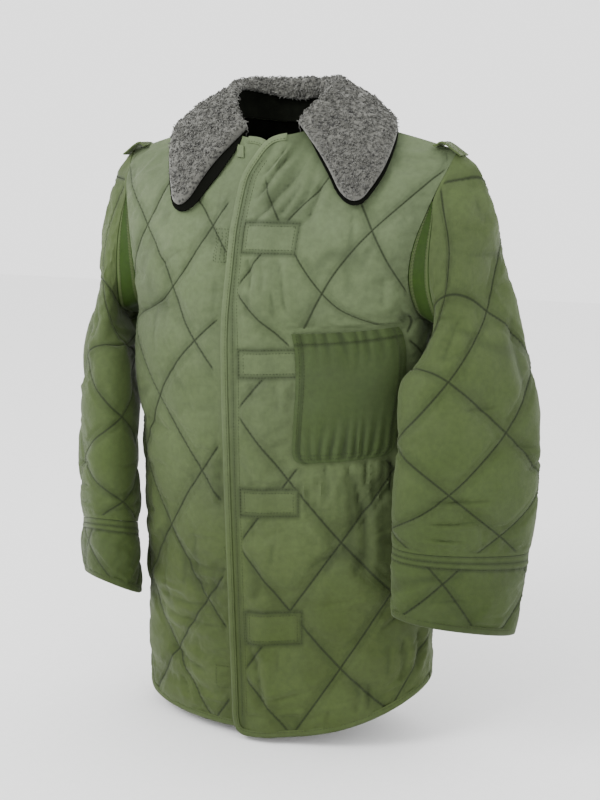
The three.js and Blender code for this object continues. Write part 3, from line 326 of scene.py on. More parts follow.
@dataclass(frozen=True)
class SleeveCut:
    """Sizes of the sleeves with their cuffs and gussets.

    Ring columns: share of the rows, centre x, y and z, long and short half axes, heading of the long axis,
    rise per mm outwards, lean per mm backwards.
    """

    rows: int = 26
    cuff_rows: int = 3
    vent: int = 16
    gap_top: float = 3.4
    gap_foot: float = 9.0
    gusset_width: float = 46.0
    gusset_half: int = 9
    gusset_cols: int = 3
    gusset_tip: float = 2.4
    clear: float = 12.0
    cap_left: float = 0.4
    cap_right: float = 0.16
    left: Table = (
        (0.3, 289, -8, -298, 84, 33, 64, 1.05, 0),
        (0.44, 297, -24, -348, 100, 44, 57, 0.3, 0),
        (0.6, 308, -32, -430, 110, 45, 54, 0.1, 0),
        (0.82, 310, -46, -536, 112, 43, 52, -0.02, -0.04),
        (1.0, 307, -52, -602, 106, 42, 51, -0.1, -0.08),
        (1.25, 300, -58, -711, 94, 42, 50, -0.16, -0.18),
    )
    right: Table = (
        (0.3, 286, -6, -298, 82, 30, 68, 1.05, 0),
        (0.44, 290, -24, -348, 96, 36, 62, 0.3, 0),
        (0.6, 293, -32, -435, 104, 38, 58, 0.1, 0),
        (0.82, 290, -46, -547, 106, 40, 54, 0, -0.14),
        (1.0, 286, -52, -630, 100, 40, 52, -0.03, -0.3),
        (1.25, 280, -58, -728, 92, 40, 52, 0.24, -0.48),
    )

    def place(self, count: int) -> Array:
        """Signed places round an armhole, 0 under the arm."""
        k = np.arange(count)
        return np.where(k > count // 2, k - count, k)

    def start(self, armhole: Array, side: int) -> Array:
        """Ring where the sleeve begins: the armhole, held off it by the gusset under the arm."""
        place = self.place(len(armhole))
        share = np.cos(np.pi / 2 * np.clip(np.abs(place) / self.gusset_half, 0, 1)) ** 0.8
        off = np.where(np.abs(place) <= self.gusset_half,
                       self.gusset_tip + (self.gusset_width - self.gusset_tip) * share, 0)
        return armhole + off[:, None] * np.array([0.93 * side, 0, -0.37])

    def ring(self, row: tuple[float, ...], side: int, count: int) -> Array:
        """Points round one ring, a squarish ellipse, from the side nearest the body by way of the front."""
        _, x, y, z, long, short, turn, rise, lean = row
        angle = np.pi + 2 * np.pi * np.arange(241) / 240 - math.radians(turn)
        c, s = np.cos(angle), np.sin(angle)
        power = 2 / 2.3
        a = np.sign(c) * np.abs(c) ** power * long
        b = np.sign(s) * np.abs(s) ** power * short
        t = math.radians(turn)
        dx = a * math.cos(t) - b * math.sin(t)
        dy = a * math.sin(t) + b * math.cos(t)
        points = np.stack([(x + dx) * side, y + dy, z + rise * dx + lean * dy], -1)
        return evenly(points, count)[:-1]

    def grid(self, start: Array, side: int, skin: BVHTree) -> Array:
        """Rows of a whole sleeve with its cuff, shoulder first, kept off the body's skin."""
        table = self.left if side > 0 else self.right
        cap = self.cap_left if side > 0 else self.cap_right
        count = len(start)
        rings = np.array([self.ring(r, side, count) for r in table])
        keys = np.array([r[0] for r in table])
        j = np.arange(self.rows + self.cuff_rows + 1)
        share = j / self.rows
        at = np.where(share <= 1, share, 1 + (j - self.rows) / self.cuff_rows * (keys[-1] - 1))
        low = through_keys(keys, rings, np.maximum(at, keys[0]))
        turn = 2 * np.pi * np.arange(count) / count
        high = (1 - np.cos(turn)) / 2
        leave = unit(np.stack([(0.45 + cap * high) * side, -0.25 * np.sin(turn), -0.85 + 0.35 * high], -1))
        arrive = unit(rings[1] - rings[0])
        reach = np.linalg.norm(start - rings[0], axis=1)[:, None] * 0.37
        t = np.clip(at / keys[0], 0, 1)[:, None, None]
        b, c = start + leave * reach, rings[0] - arrive * reach
        top = cubic(start, b, c, rings[0], t)
        whole = np.where((at < keys[0])[:, None, None], top, low)
        for n in range(2, len(whole)):
            whole[n] = stood_off(whole[n], skin, self.clear * float(smoothstep(n, 1, 8)))
        return whole

    def gusset(self, armhole: Array, start: Array) -> Array:
        """Gusset grid: from the body edge out to the sleeve edge, its columns running round under the arm."""
        places = self.gusset_places(len(armhole))
        t = np.linspace(0, 1, self.gusset_cols + 1)[:, None, None]
        body, arm = armhole[places][None], start[places][None]
        sag = np.sin(np.pi * t) * 0.07 * np.linalg.norm(arm - body, axis=-1, keepdims=True)
        return body + (arm - body) * t - sag * np.array([0, 0, 1.0])

    def gusset_places(self, count: int) -> Array:
        """Armhole places of the gusset's columns."""
        return (np.arange(2 * self.gusset_half + 1) - self.gusset_half) % count


def stood_off(points: Array, skin: BVHTree, gap: float) -> Array:
    """Points pushed off a skin until each stands `gap` outside it; points far from it are left alone."""
    result = points.copy()
    for n, point in enumerate(points):
        near, normal, _, distance = skin.find_nearest(Vector(point), 60.0)
        if near is None:
            continue
        away = np.array(point) - np.array(near)
        facing = float(np.dot(away, normal)) / max(distance, 1e-9)
        signed = distance if facing >= 0 else -distance
        if (abs(facing) > 0.7 or distance < 1) and -40 < signed < gap:
            result[n] = point + np.array(normal) * (gap - signed)
    return result


def skin_tree(*grids: tuple[Array, bool]) -> BVHTree:
    """Search tree over the outer skins of grids, each with its flip, for standing pieces off them."""
    points: list[Array] = []
    quads: list[Array] = []
    start = 0
    for grid, flip in grids:
        rows, cols = grid.shape[:2]
        ids = np.arange(rows * cols).reshape(rows, cols) + start
        q = np.stack([ids[:-1, :-1], ids[:-1, 1:], ids[1:, 1:], ids[1:, :-1]], -1).reshape(-1, 4)
        quads.append(q[:, ::-1] if flip else q)
        points.append(grid.reshape(-1, 3))
        start += rows * cols
    return BVHTree.FromPolygons(np.vstack(points).tolist(), np.vstack(quads).tolist())


# ---- meshes
def draw_in(grid: Array, end: int, gap: float) -> None:
    """Moves a grid's first (0) or last (-1) row towards the next one by a gap."""
    grid[end] += unit(grid[1 if end == 0 else -2] - grid[end]) * gap


def linked(name: str, data: bpy.types.ID) -> Piece:
    """A new object of the data, linked to the scene."""
    piece = bpy.data.objects.new(name, data)
    bpy.context.scene.collection.objects.link(piece)
    return piece


def write_uv(mesh: bpy.types.Mesh, name: str, uv: Array) -> None:
    """Adds a UV map, with one row of `uv` for each face corner."""
    mesh.uv_layers.new(name=name).data.foreach_set("uv", uv.astype(np.float32).ravel())


def write_mark(mesh: bpy.types.Mesh, name: str, values: Array) -> None:
    """Adds a point attribute of single values."""
    mesh.attributes.new(name, "FLOAT", "POINT").data.foreach_set("value", values.astype(np.float32))


def corner_points(mesh: bpy.types.Mesh) -> Array:
    """Point number of each face corner."""
    corner = np.empty(len(mesh.loops), np.int32)
    mesh.loops.foreach_get("vertex_index", corner)
    return corner


def new_mesh(name: str, points: Array, faces: Sequence[Array], slots: Sequence[int]) -> Piece:
    """Object from points in millimetres and groups of faces, each group with its own material slot.

    Args:
        name: object name.
        points: all corners.
        faces: arrays of corner numbers, one row a face.
        slots: material slot of each group.

    Returns:
        The new object, linked to the scene, at the origin.
    """
    mesh = bpy.data.meshes.new(name)
    mesh.vertices.add(len(points))
    mesh.vertices.foreach_set("co", (np.asarray(points) * MM).ravel())
    widths = np.concatenate([np.full(len(f), f.shape[1]) for f in faces])
    loops = np.concatenate([f.ravel() for f in faces]).astype(np.int32)
    mesh.loops.add(len(loops))
    mesh.loops.foreach_set("vertex_index", loops)
    mesh.polygons.add(len(widths))
    mesh.polygons.foreach_set("loop_start", np.r_[0, np.cumsum(widths)[:-1]].astype(np.int32))
    kinds = np.concatenate([np.full(len(f), s) for f, s in zip(faces, slots)]).astype(np.int32)
    mesh.polygons.foreach_set("material_index", kinds)
    mesh.update(calc_edges=True)
    mesh.validate()
    mesh.shade_smooth()
    return linked(name, mesh)


def grid_faces(rows: int, cols: int, wrap: bool, first: int = 0) -> Array:
    """Corner numbers of a grid's quads, rows of `cols` points, turned to face along x up."""
    ids = np.arange(rows * cols).reshape(rows, cols) + first
    if wrap:
        ids = np.concatenate([ids, ids[:, :1]], 1)
    return np.stack([ids[:-1, :-1], ids[:-1, 1:], ids[1:, 1:], ids[1:, :-1]], -1).reshape(-1, 4)


def rim_faces(rows: int, cols: int, wrap: bool) -> Array:
    """Quads that join the edges of an outer grid to those of an inner grid that follows it."""
    ids = np.arange(rows * cols).reshape(rows, cols)
    if wrap:
        loops = [np.r_[ids[0], ids[0, 0]], np.r_[ids[-1], ids[-1, 0]][::-1]]
    else:
        loops = [np.concatenate([ids[0], ids[1:, -1], ids[-1, -2::-1], ids[-2::-1, 0]])]
    inner = rows * cols
    return np.concatenate([np.stack([a[:-1] + inner, a[1:] + inner, a[1:], a[:-1]], -1) for a in loops])


@dataclass
class Shell:
    """A closed cloth wall between an outer and an inner grid of the same size.

    `marks` are values on the outer grid that the finishes read, such as the nearness of a stitch line.
    """

    name: str
    outer: Array
    inner: Array
    flip: bool = False
    wrap: bool = False
    marks: dict[str, Array] = field(default_factory=dict)
    plain_inside: bool = True
    lattice: tuple[Array, Array] | None = None
    zones: Array | None = None

    def build(self) -> Piece:
        """The wall as an object with a cloth UV map in metres and its marks as point attributes."""
        rows, cols = self.outer.shape[:2]
        count = rows * cols
        out = grid_faces(rows, cols, self.wrap)
        inn = grid_faces(rows, cols, self.wrap, count)[:, ::-1]
        rim = rim_faces(rows, cols, self.wrap)
        groups = [out, rim, inn]
        if self.flip:
            groups = [g[:, ::-1] for g in groups]
        points = np.concatenate([self.outer.reshape(-1, 3), self.inner.reshape(-1, 3)])
        piece = new_mesh(self.name, points, groups, (0, 0, 1 if self.plain_inside else 0))
        mesh = piece.data
        for name, value in self.marks.items():
            full = np.broadcast_to(value, (rows, cols)).ravel()
            write_mark(mesh, name, np.concatenate([full, np.zeros(count)]))
        self.map_cloth(mesh, rows, cols)
        if self.zones is not None:
            kinds = np.empty(len(mesh.polygons), np.int32)
            mesh.polygons.foreach_get("material_index", kinds)
            kinds[:len(out)] = self.zones.ravel()
            mesh.polygons.foreach_set("material_index", kinds)
        mesh.set_sharp_from_angle(angle=math.radians(60))
        return piece

    def map_cloth(self, mesh: bpy.types.Mesh, rows: int, cols: int) -> None:
        """UV map in metres of cloth: mean width along a row and mean height along a column."""
        grid = np.concatenate([self.outer, self.outer[:, :1]], 1) if self.wrap else self.outer
        u = np.r_[0, np.cumsum(spans(grid, 1).mean(0))] * MM
        v = np.r_[0, np.cumsum(spans(grid, 0).mean(1))] * MM
        place = corner_points(mesh) % (rows * cols)
        uv = np.stack([u[place % cols], v[place // cols]], -1)
        if self.wrap:
            quad = uv.reshape(-1, 4, 2)
            over = (quad[:, :, 0].max(1) - quad[:, :, 0].min(1)) > u[-1] / 2
            low = quad[:, :, 0] < u[-1] / 2
            quad[:, :, 0] += np.where(over[:, None] & low, u[-1], 0)
        write_uv(mesh, "cloth", uv)
        if self.lattice is None:
            return
        v, u = (value.ravel()[place] for value in self.lattice)
        if self.wrap:
            u = u.reshape(-1, 4)
            span = self.lattice[1][0, -1] - self.lattice[1][0, 0]
            over = (u.max(1) - u.min(1)) > span / 2
            u = u + np.where(over[:, None] & (u < u.min() + span / 2), span * cols / (cols - 1), 0)
            u = u.ravel()
        write_uv(mesh, "lattice", np.stack([u + v, u - v], -1))


# ---- quilting
@dataclass(frozen=True)
class Quilt:
    """Diamond quilting: two families of stitch lines along the grid's diagonals."""

    cell: int = 8
    first: int = 4
    base: float = 2.4
    puff: float = 6.5
    step: float = 12.0

    def distances(self, v: Array, u: Array) -> tuple[Array, Array]:
        """Distances in millimetres from the nearest line of each family, at rows v and columns u."""
        def fold(n: Array) -> Array:
            """Distance in cells from the nearest line."""
            rest = np.mod(n, self.cell)
            return np.minimum(rest, self.cell - rest)
        return fold(u + v - self.first) * self.step, fold(u - v - self.first) * self.step

    def dome(self, v: Array, u: Array) -> Array:
        """0 on the stitches and 1 in mid-diamond, a quarter ellipse of the distance from the lines."""
        near = np.minimum(*self.distances(v, u)) / (self.step * self.cell / 2)
        return np.sqrt(np.clip(1 - (1 - near) ** 2, 0, 1))

    def puckers(self, v: Array, u: Array, points: Array, seed: int) -> Array:
        """Short ripples square to each stitch line, dying away from it.

        Sine of the distance along the line, its phase moved by noise, times a falling exponential of the
        distance from the line.
        """
        first, second = self.distances(v, u)
        drift = 5 * lattice_noise(points, 46, seed) + 2.5 * lattice_noise(points, 19, seed + 1)
        size = 0.55 + 0.45 * lattice_noise(points, 70, seed + 2)
        along_first = (v - u) * self.step * 1.15
        along_second = (v + u) * self.step * 1.15
        ripple = np.zeros(v.shape)
        for near, along in ((first, along_first), (second, along_second)):
            rise = np.exp(-near / 11) * (1 - np.exp(-near / 2.5))
            ripple += rise * np.sin(2 * np.pi * along / 17 + drift)
        return ripple * np.clip(size, 0, 1)


@dataclass(frozen=True)
class Crease:
    """One fold: a straight run on a panel, in grid rows and columns, and its section."""

    v0: float
    u0: float
    v1: float
    u1: float
    depth: float
    width: float


def folds(*rows: tuple[float, ...]) -> tuple[Crease, ...]:
    """Creases from rows of v0, u0, v1, u1, depth and width."""
    return tuple(Crease(*row) for row in rows)


def creased(v: Array, u: Array, cell: tuple[float, float],
            creases: Sequence[Crease]) -> tuple[Array, Array]:
    """Relief of a table of creases, and how deep in a fold each place lies, from 0 to 1, for painted shade in
    the creases.

    Each is a trough of depth times exp(-|d| / width) with a low ridge beside it, faded at both ends.
    """
    y, x = v * cell[0], u * cell[1]
    relief = np.zeros(v.shape)
    inside = np.zeros(v.shape)
    for c in creases:
        y0, x0, y1, x1 = c.v0 * cell[0], c.u0 * cell[1], c.v1 * cell[0], c.u1 * cell[1]
        dy, dx = y1 - y0, x1 - x0
        length = math.hypot(dy, dx)
        t = ((y - y0) * dy + (x - x0) * dx) / length**2
        bow = 0.06 * length * np.sin(np.pi * np.clip(t, 0, 1))
        d = ((y - y0) * dx - (x - x0) * dy) / length - bow
        fade = smoothstep(t, -0.02, 0.3) * (1 - smoothstep(t, 0.7, 1.02))
        trough = -np.exp(-np.abs(d) / c.width)
        ridge = 0.6 * bell(d - 1.7 * c.width, 1.1 * c.width)
        relief += c.depth * fade * (trough + ridge)
        # Share of painted shade: darkest on the crease's line and for deeper creases.
        inside = np.maximum(inside, fade * np.exp(-np.abs(d) / 2.6) * min(c.depth / 6, 1))
    return relief, inside


@dataclass(frozen=True)
class Swell:
    """Settings of the cloth simulation that fills the quilting."""

    growth: float = 0.022
    pressure: float = 3.0
    frames: int = 18
    quality: int = 4
    cap: float = 12.0

    def run(self, name: str, sheet: Array, held: Array, flip: bool, wrap: bool) -> Array:
        """Swells a sheet that is held along its stitches and edges.

        The sheet's springs are longer than its cells by `growth`, and air pressure pushes it outwards.

        Args:
            name: name of the temporary piece.
            sheet: grid of points, a little raised between the stitches.
            held: where the sheet is sewn down.
            flip: whether the grid's own direction points inwards.
            wrap: whether its columns close into a tube.

        Returns:
            The settled grid.
        """
        rows, cols = sheet.shape[:2]
        faces = grid_faces(rows, cols, wrap)
        piece = new_mesh(name, sheet.reshape(-1, 3), [faces[:, ::-1] if flip else faces], (0,))
        group = piece.vertex_groups.new(name="sewn")
        group.add(np.flatnonzero(held.ravel()).tolist(), 1.0, "REPLACE")
        cloth = piece.modifiers.new("swell", "CLOTH")
        for key, value in {"quality": self.quality, "mass": 0.25, "air_damping": 4, "tension_stiffness": 15,
                           "compression_stiffness": 15, "shear_stiffness": 6, "bending_stiffness": 0.4,
                           "vertex_group_mass": "sewn", "shrink_min": -self.growth, "use_pressure": True,
                           "uniform_pressure_force": self.pressure}.items():
            setattr(cloth.settings, key, value)
        cloth.settings.effector_weights.gravity = 0
        cloth.collision_settings.use_collision = False
        cloth.collision_settings.use_self_collision = False
        cloth.point_cache.frame_start = 1
        cloth.point_cache.frame_end = self.frames
        scene = bpy.context.scene
        for number in range(1, self.frames + 1):
            scene.frame_set(number)
        settled = piece.evaluated_get(bpy.context.evaluated_depsgraph_get()).to_mesh()
        out = np.empty(rows * cols * 3)
        settled.vertices.foreach_get("co", out)
        mesh = piece.data
        bpy.data.objects.remove(piece)
        bpy.data.meshes.remove(mesh)
        scene.frame_set(1)
        moved = out.reshape(rows, cols, 3) / MM - sheet
        reach = np.linalg.norm(moved, axis=-1, keepdims=True)
        return sheet + moved * np.minimum(1, self.cap / np.maximum(reach, 1e-6))


@dataclass
class Panel:
    """A quilted panel: its plain inner grid, its directions and where its padding is flattened."""

    name: str
    grid: Array
    normals: Array
    quilt: Quilt
    offset: float
    cell: tuple[float, float]
    flat: Callable[[Array, Array], Array]
    flip: bool = False
    wrap: bool = False
    creases: tuple[Crease, ...] = ()
    seed: int = 0
    fine: int = 4
    extra: Callable[[Array, Array, Array], Array] | None = None
    begin: float = 0.0
    stretch: tuple[float, float, float] = (1.0, 1.0, 0.3)

    def wrinkles(self) -> Array:
        """Thin short troughs: the zero lines of a stretched noise, kept where a second noise is high."""
        line = bell(lattice_noise(self.inner * self.stretch, 34, self.seed + 7), 0.15)
        return line * smoothstep(lattice_noise(self.inner, 52, self.seed + 8), -0.05, 0.4)

    def coarse_outer(self, closed: bool = False) -> Array:
        """Outer skin at the grid's own fineness; a tube's first column is repeated when `closed`."""
        rows, cols = self.grid.shape[:2]
        v, u = np.meshgrid(np.arange(rows, dtype=float), np.arange(cols, dtype=float), indexing="ij")
        rise = self.quilt.dome(v + self.begin, u + self.offset) * self.flat(v, u)
        skin = self.grid + self.normals * (self.quilt.base + self.quilt.puff * rise)[..., None]
        return np.concatenate([skin, skin[:, :1]], 1) if closed else skin

    def lines(self, rows: int) -> tuple[Array, Array]:
        """Fractional rows and columns of the fine grid."""
        count, width = self.grid.shape[:2]
        v = np.arange((count - 1) * rows + 1) / rows
        u = np.arange(width * self.fine if self.wrap else (width - 1) * self.fine + 1) / self.fine
        return np.meshgrid(v, u, indexing="ij")

    def swollen(self, swell: Swell) -> "Panel":
        """Works out the outer skin: padding swollen between the stitches, puckers, folds and creases."""
        v, u = self.lines(self.fine)
        base = refined(self.grid, self.fine, self.fine, self.wrap)
        way = unit(refined(self.normals, self.fine, self.fine, self.wrap))
        soft = self.flat(v, u)
        dome = self.quilt.dome(v + self.begin, u + self.offset) * soft
        first, second = self.quilt.distances(v + self.begin, u + self.offset)
        sewn = np.minimum(first, second) < 0.5
        held = (sewn & (soft > 0.35)) | (soft < 0.06)
        held[[0, -1]] = True
        if not self.wrap:
            held[:, [0, -1]] = True
        start = base + way * (self.quilt.base + self.quilt.puff * (0.45 * dome))[..., None]
        settled = swell.run(f"{self.name}_swell", start, held, self.flip, self.wrap)
        height = np.einsum("jik,jik->ji", settled - base, way)
        aside = settled - base - way * height[..., None]
        most = self.quilt.base + 0.6 + 1.7 * self.quilt.puff * np.maximum(soft, 0.02)
        height = np.clip(height, self.quilt.base * 0.7, most)
        settled = base + way * height[..., None] + aside * 0.8
        self.v, self.u = self.lines(2 * self.fine)
        self.inner = refined(self.grid, 2 * self.fine, self.fine, self.wrap)
        self.outer = refined(settled, 2, 1, self.wrap)
        self.way = unit(refined(way, 2, 1, self.wrap))
        self.soft = self.flat(self.v, self.u)
        place = (self.v + self.begin, self.u + self.offset)
        relief = 0.75 * self.quilt.puckers(*place, self.inner, self.seed) * self.soft
        folds, self.folded = creased(self.v, self.u, self.cell, self.creases)
        relief += 0.5 * lattice_noise(self.inner * UPRIGHT, 17, self.seed + 5) * self.soft
        relief += 0.35 * lattice_noise(self.inner, 9, self.seed + 6) * np.sqrt(self.soft)
        # Thin wrinkles sink the skin and mark painted shade in their troughs.
        thin = self.wrinkles() * np.sqrt(self.soft)
        relief -= 1.7 * thin
        self.folded = np.maximum(self.folded, 0.6 * thin)
        if self.extra is not None:
            relief += self.extra(self.v, self.u, self.inner)
        edge = np.minimum(self.v, self.v.max() - self.v)
        if not self.wrap:
            edge = np.minimum(edge, np.minimum(self.u, self.u.max() - self.u) * 1.6)
        fade = smoothstep(edge, 0.1, 0.9)
        rise = np.einsum("jik,jik->ji", self.outer - self.inner, self.way)
        relief = np.maximum(relief * fade, 1.3 - rise)
        self.inner = self.inner + self.way * (folds * fade)[..., None]
        self.outer = self.outer + self.way * (relief + folds * fade)[..., None]
        return self

    def shell(self) -> Shell:
        """The panel as a closed wall, marked with its nearness to the stitches and with its folds, which its
        finish paints as shade.
        """
        lattice = ((self.v + self.begin) / self.quilt.cell, (self.u + self.offset - self.quilt.first)
                   / self.quilt.cell)
        marks = {"sewn": smoothstep(self.soft, 0.045, 0.12), "fold": self.folded}
        return Shell(self.name, self.outer, self.inner, self.flip, self.wrap, marks, lattice=lattice)

    def at(self, v: Array, u: Array, lift: float | Array = 0.0) -> Array:
        """Places on the outer skin at grid rows v and columns u, raised by `lift`."""
        point = self.read(self.outer, v, u)
        return point + self.direction(v, u) * np.asarray(lift, float)[..., None]

    def direction(self, v: Array, u: Array) -> Array:
        """Outward directions at grid rows v and columns u."""
        return unit(self.read(self.way, v, u))

    def read(self, grid: Array, v: Array, u: Array) -> Array:
        """Values of a fine grid at grid rows v and columns u; a tube's columns run on round it."""
        if self.wrap:
            grid = np.concatenate([grid, grid[:, :1]], 1)
            u = np.mod(u, self.grid.shape[1])
        return sample(grid, v * 2 * self.fine, u * self.fine)

    def sew_line(self, sewing: "Sewing", v: Array, u: Array, keep: Array | None = None) -> None:
        """A row of stitches along grid rows v and columns u."""
        sewing.run(self.at(v, u), self.direction(v, u), keep)

    def sew(self, sewing: "Sewing") -> None:
        """Stitches along every line of the quilting, wherever the padding is sewn through."""
        rows, cols = len(self.grid) - 1, self.grid.shape[1] - (0 if self.wrap else 1)
        v = np.linspace(0, rows, rows * 16 + 1)
        for sign in (1, -1):
            shift = self.quilt.first - sign * self.begin - self.offset
            low = math.ceil((-shift - (rows if sign < 0 else 0)) / self.quilt.cell)
            high = math.floor((cols - shift + (rows if sign > 0 else 0)) / self.quilt.cell)
            if self.wrap:
                high = low + cols // self.quilt.cell - 1
            for number in range(low, high + 1):
                u = shift + number * self.quilt.cell - sign * v
                inside = np.ones(len(v), bool) if self.wrap else (u > 0.3) & (u < cols - 0.3)
                if inside.sum() < 8:
                    continue
                at = np.mod(u, cols) if self.wrap else u
                keep = self.flat(v, at) > 0.09
                self.sew_line(sewing, v[inside], at[inside], keep[inside])


# ---- places
@dataclass(frozen=True)
class Area:
    """A rectangle on a panel, in grid columns u and rows v."""

    u0: float
    u1: float
    v0: float
    v1: float

    def depth(self, v: Array, u: Array) -> Array:
        """How deep places lie inside the area, in cells; negative outside it."""
        return np.minimum(np.minimum(u - self.u0, self.u1 - u), np.minimum(v - self.v0, self.v1 - v))

    def outline(self, inset: float = 0.0) -> tuple[Array, Array]:
        """Rows and columns along the outline, drawn in by `inset` columns."""
        u0, u1 = self.u0 + inset, self.u1 - inset
        v0, v1 = self.v0 + inset * 0.6, self.v1 - inset * 0.6
        t = np.linspace(0, 1, 60)
        u = np.concatenate([u0 + (u1 - u0) * t, np.full(60, u1), u1 + (u0 - u1) * t, np.full(60, u0)])
        v = np.concatenate([np.full(60, v0), v0 + (v1 - v0) * t, np.full(60, v1), v1 + (v0 - v1) * t])
        return v, u


POCKET = Area(5.3, 12.9, 17, 24.9)
RECTANGLES = (
    Area(1.3, 6.6, 30.4, 32.3),
    Area(1.3, 5.6, 22.1, 23.8),
    Area(1.3, 5.7, 13.8, 15.4),
    Area(1.4, 5.9, 5.9, 7.9),
)
LEFT_CREASES = folds(
    (36.4, 3.8, 33.4, 1.4, 6.5, 7),
    (36.0, 5.8, 31.9, 1.3, 7.5, 7),
    (35.2, 7.3, 32.0, 6.9, 6.5, 7),
    (35.0, 5.9, 32.4, 4.1, 5.0, 5),
    (35.6, 6.7, 32.6, 5.6, 4.0, 5),
    (36.6, 2.6, 34.8, 1.6, 4.0, 5),
    (30.6, 4.8, 26.0, 5.3, 4.2, 5),
    (30.4, 1.7, 27.6, 2.5, 5.0, 6),
    (29.8, 3.4, 27.4, 3.5, 2.8, 4),
    (22.0, 3.6, 19.6, 3.8, 3.4, 4),
    (22.0, 4.9, 20.4, 5.0, 2.6, 4),
    (21.9, 2.2, 20.6, 2.1, 2.6, 4),
    (36.4, 16.4, 36.2, 12.4, 2.6, 4),
    (36.2, 12.6, 35.4, 8.8, 2.6, 4),
    (29.6, 14.6, 27.0, 13.4, 3.2, 6),
    (26.6, 14.4, 24.2, 12.6, 4.0, 7),
    (27.6, 15.6, 25.0, 13.4, 3.6, 6),
    (25.0, 15.6, 20.6, 14.4, 3.0, 8),
    (17.4, 9.0, 8.6, 10.7, 6.5, 6),
    (17.4, 7.4, 14.2, 7.8, 5.0, 5),
    (17.4, 8.2, 15.4, 8.3, 3.6, 4),
    (17.4, 10.6, 14.8, 10.4, 3.6, 5),
    (17.4, 12.4, 14.0, 12.6, 5.0, 5),
    (13.0, 5.2, 11.8, 7.4, 3.0, 6),
    (10.4, 6.2, 11.4, 8.8, 3.0, 6),
    (6.6, 1.2, 0.9, 2.6, 5.0, 6),
    (4.9, 13.7, 1.2, 13.9, 7.5, 6),
    (5.0, 15.2, 1.4, 15.4, 7.0, 6),
    (3.2, 10.2, 0.5, 10.1, 5.0, 5),
    (3.0, 10.9, 0.6, 11.2, 4.0, 4),
    (5.6, 11.8, 6.2, 14.8, 3.6, 6),
    (2.2, 3.0, 2.8, 6.2, 3.0, 6),
)
RIGHT_CREASES = folds(
    (10.2, 7.8, 10.1, 1.9, 5.0, 7),
    (9.0, 6.4, 8.9, 2.2, 3.4, 6),
    (7.6, 12.6, 7.8, 3.4, 3.4, 7),
    (6.6, 11.4, 6.5, 2.4, 4.0, 7),
    (6.7, 2.3, 4.9, 2.3, 5.0, 4),
    (4.4, 10.8, 3.2, 4.4, 5.0, 8),
    (17.6, 3.0, 13.4, 2.9, 4.0, 5),
    (18.6, 12.4, 18.0, 8.2, 2.6, 8),
    (30.6, 7.4, 29.0, 11.6, 3.0, 9),
    (25.6, 15.8, 23.4, 13.4, 4.0, 7),
    (2.6, 8.8, 1.0, 7.2, 3.4, 5),
)
BACK_CREASES = folds(
    (31.0, 12.0, 27.4, 7.4, 3.4, 9),
    (31.4, 20.0, 27.0, 25.2, 3.6, 9),
    (24.6, 4.4, 20.4, 8.4, 4.0, 8),
    (24.2, 27.4, 20.0, 23.6, 3.6, 8),
    (12.6, 6.4, 11.4, 15.0, 3.4, 8),
    (8.4, 17.0, 9.8, 27.0, 3.6, 8),
    (16.4, 16.4, 15.0, 24.6, 2.8, 8),
    (4.6, 2.4, 0.8, 3.0, 5.0, 6),
    (4.2, 26.6, 0.6, 25.8, 5.0, 6),
    (5.4, 12.0, 4.6, 19.0, 3.0, 8),
)
SLEEVE_CREASES = folds(
    (8.2, 12.6, 14.6, 12.4, 5.4, 8),
    (15.4, 14.0, 18.4, 14.2, 4.0, 7),
    (2.0, 11.0, 4.2, 11.6, 3.6, 8),
    (5.2, 13.4, 8.4, 14.8, 4.0, 8),
    (6.6, 7.6, 11.0, 5.6, 4.0, 12),
    (8.2, 8.8, 13.2, 7.2, 3.4, 11),
    (14.0, 6.6, 14.2, 9.8, 3.4, 5),
    (20.4, 4.6, 20.6, 9.4, 4.0, 5),
    (22.6, 4.4, 22.4, 8.4, 3.6, 5),
    (18.8, 11.4, 18.0, 15.4, 4.2, 5),
    (24.2, 4.6, 24.4, 7.4, 3.0, 4),
    (16.8, 10.4, 17.4, 13.6, 3.4, 5),
    (5.6, 16.0, 9.8, 20.4, 4.0, 9),
    (11.4, 15.4, 13.4, 21.0, 3.6, 8),
    (20.6, 15.2, 22.2, 20.0, 3.0, 8),
)


def from_ends(n: Array, count: float, reach: float) -> Array:
    """0 on the ends of a run of cells and 1 from `reach` cells inwards."""
    return np.clip(np.minimum(n, count - n) / reach, 0, 1)


class Side(Enum):
    """Side of the wearer, with its sign along X."""

    LEFT = 1
    RIGHT = -1

    @property
    def word(self) -> str:
        """The side's name as it stands in piece and node names."""
        return self.name.lower()


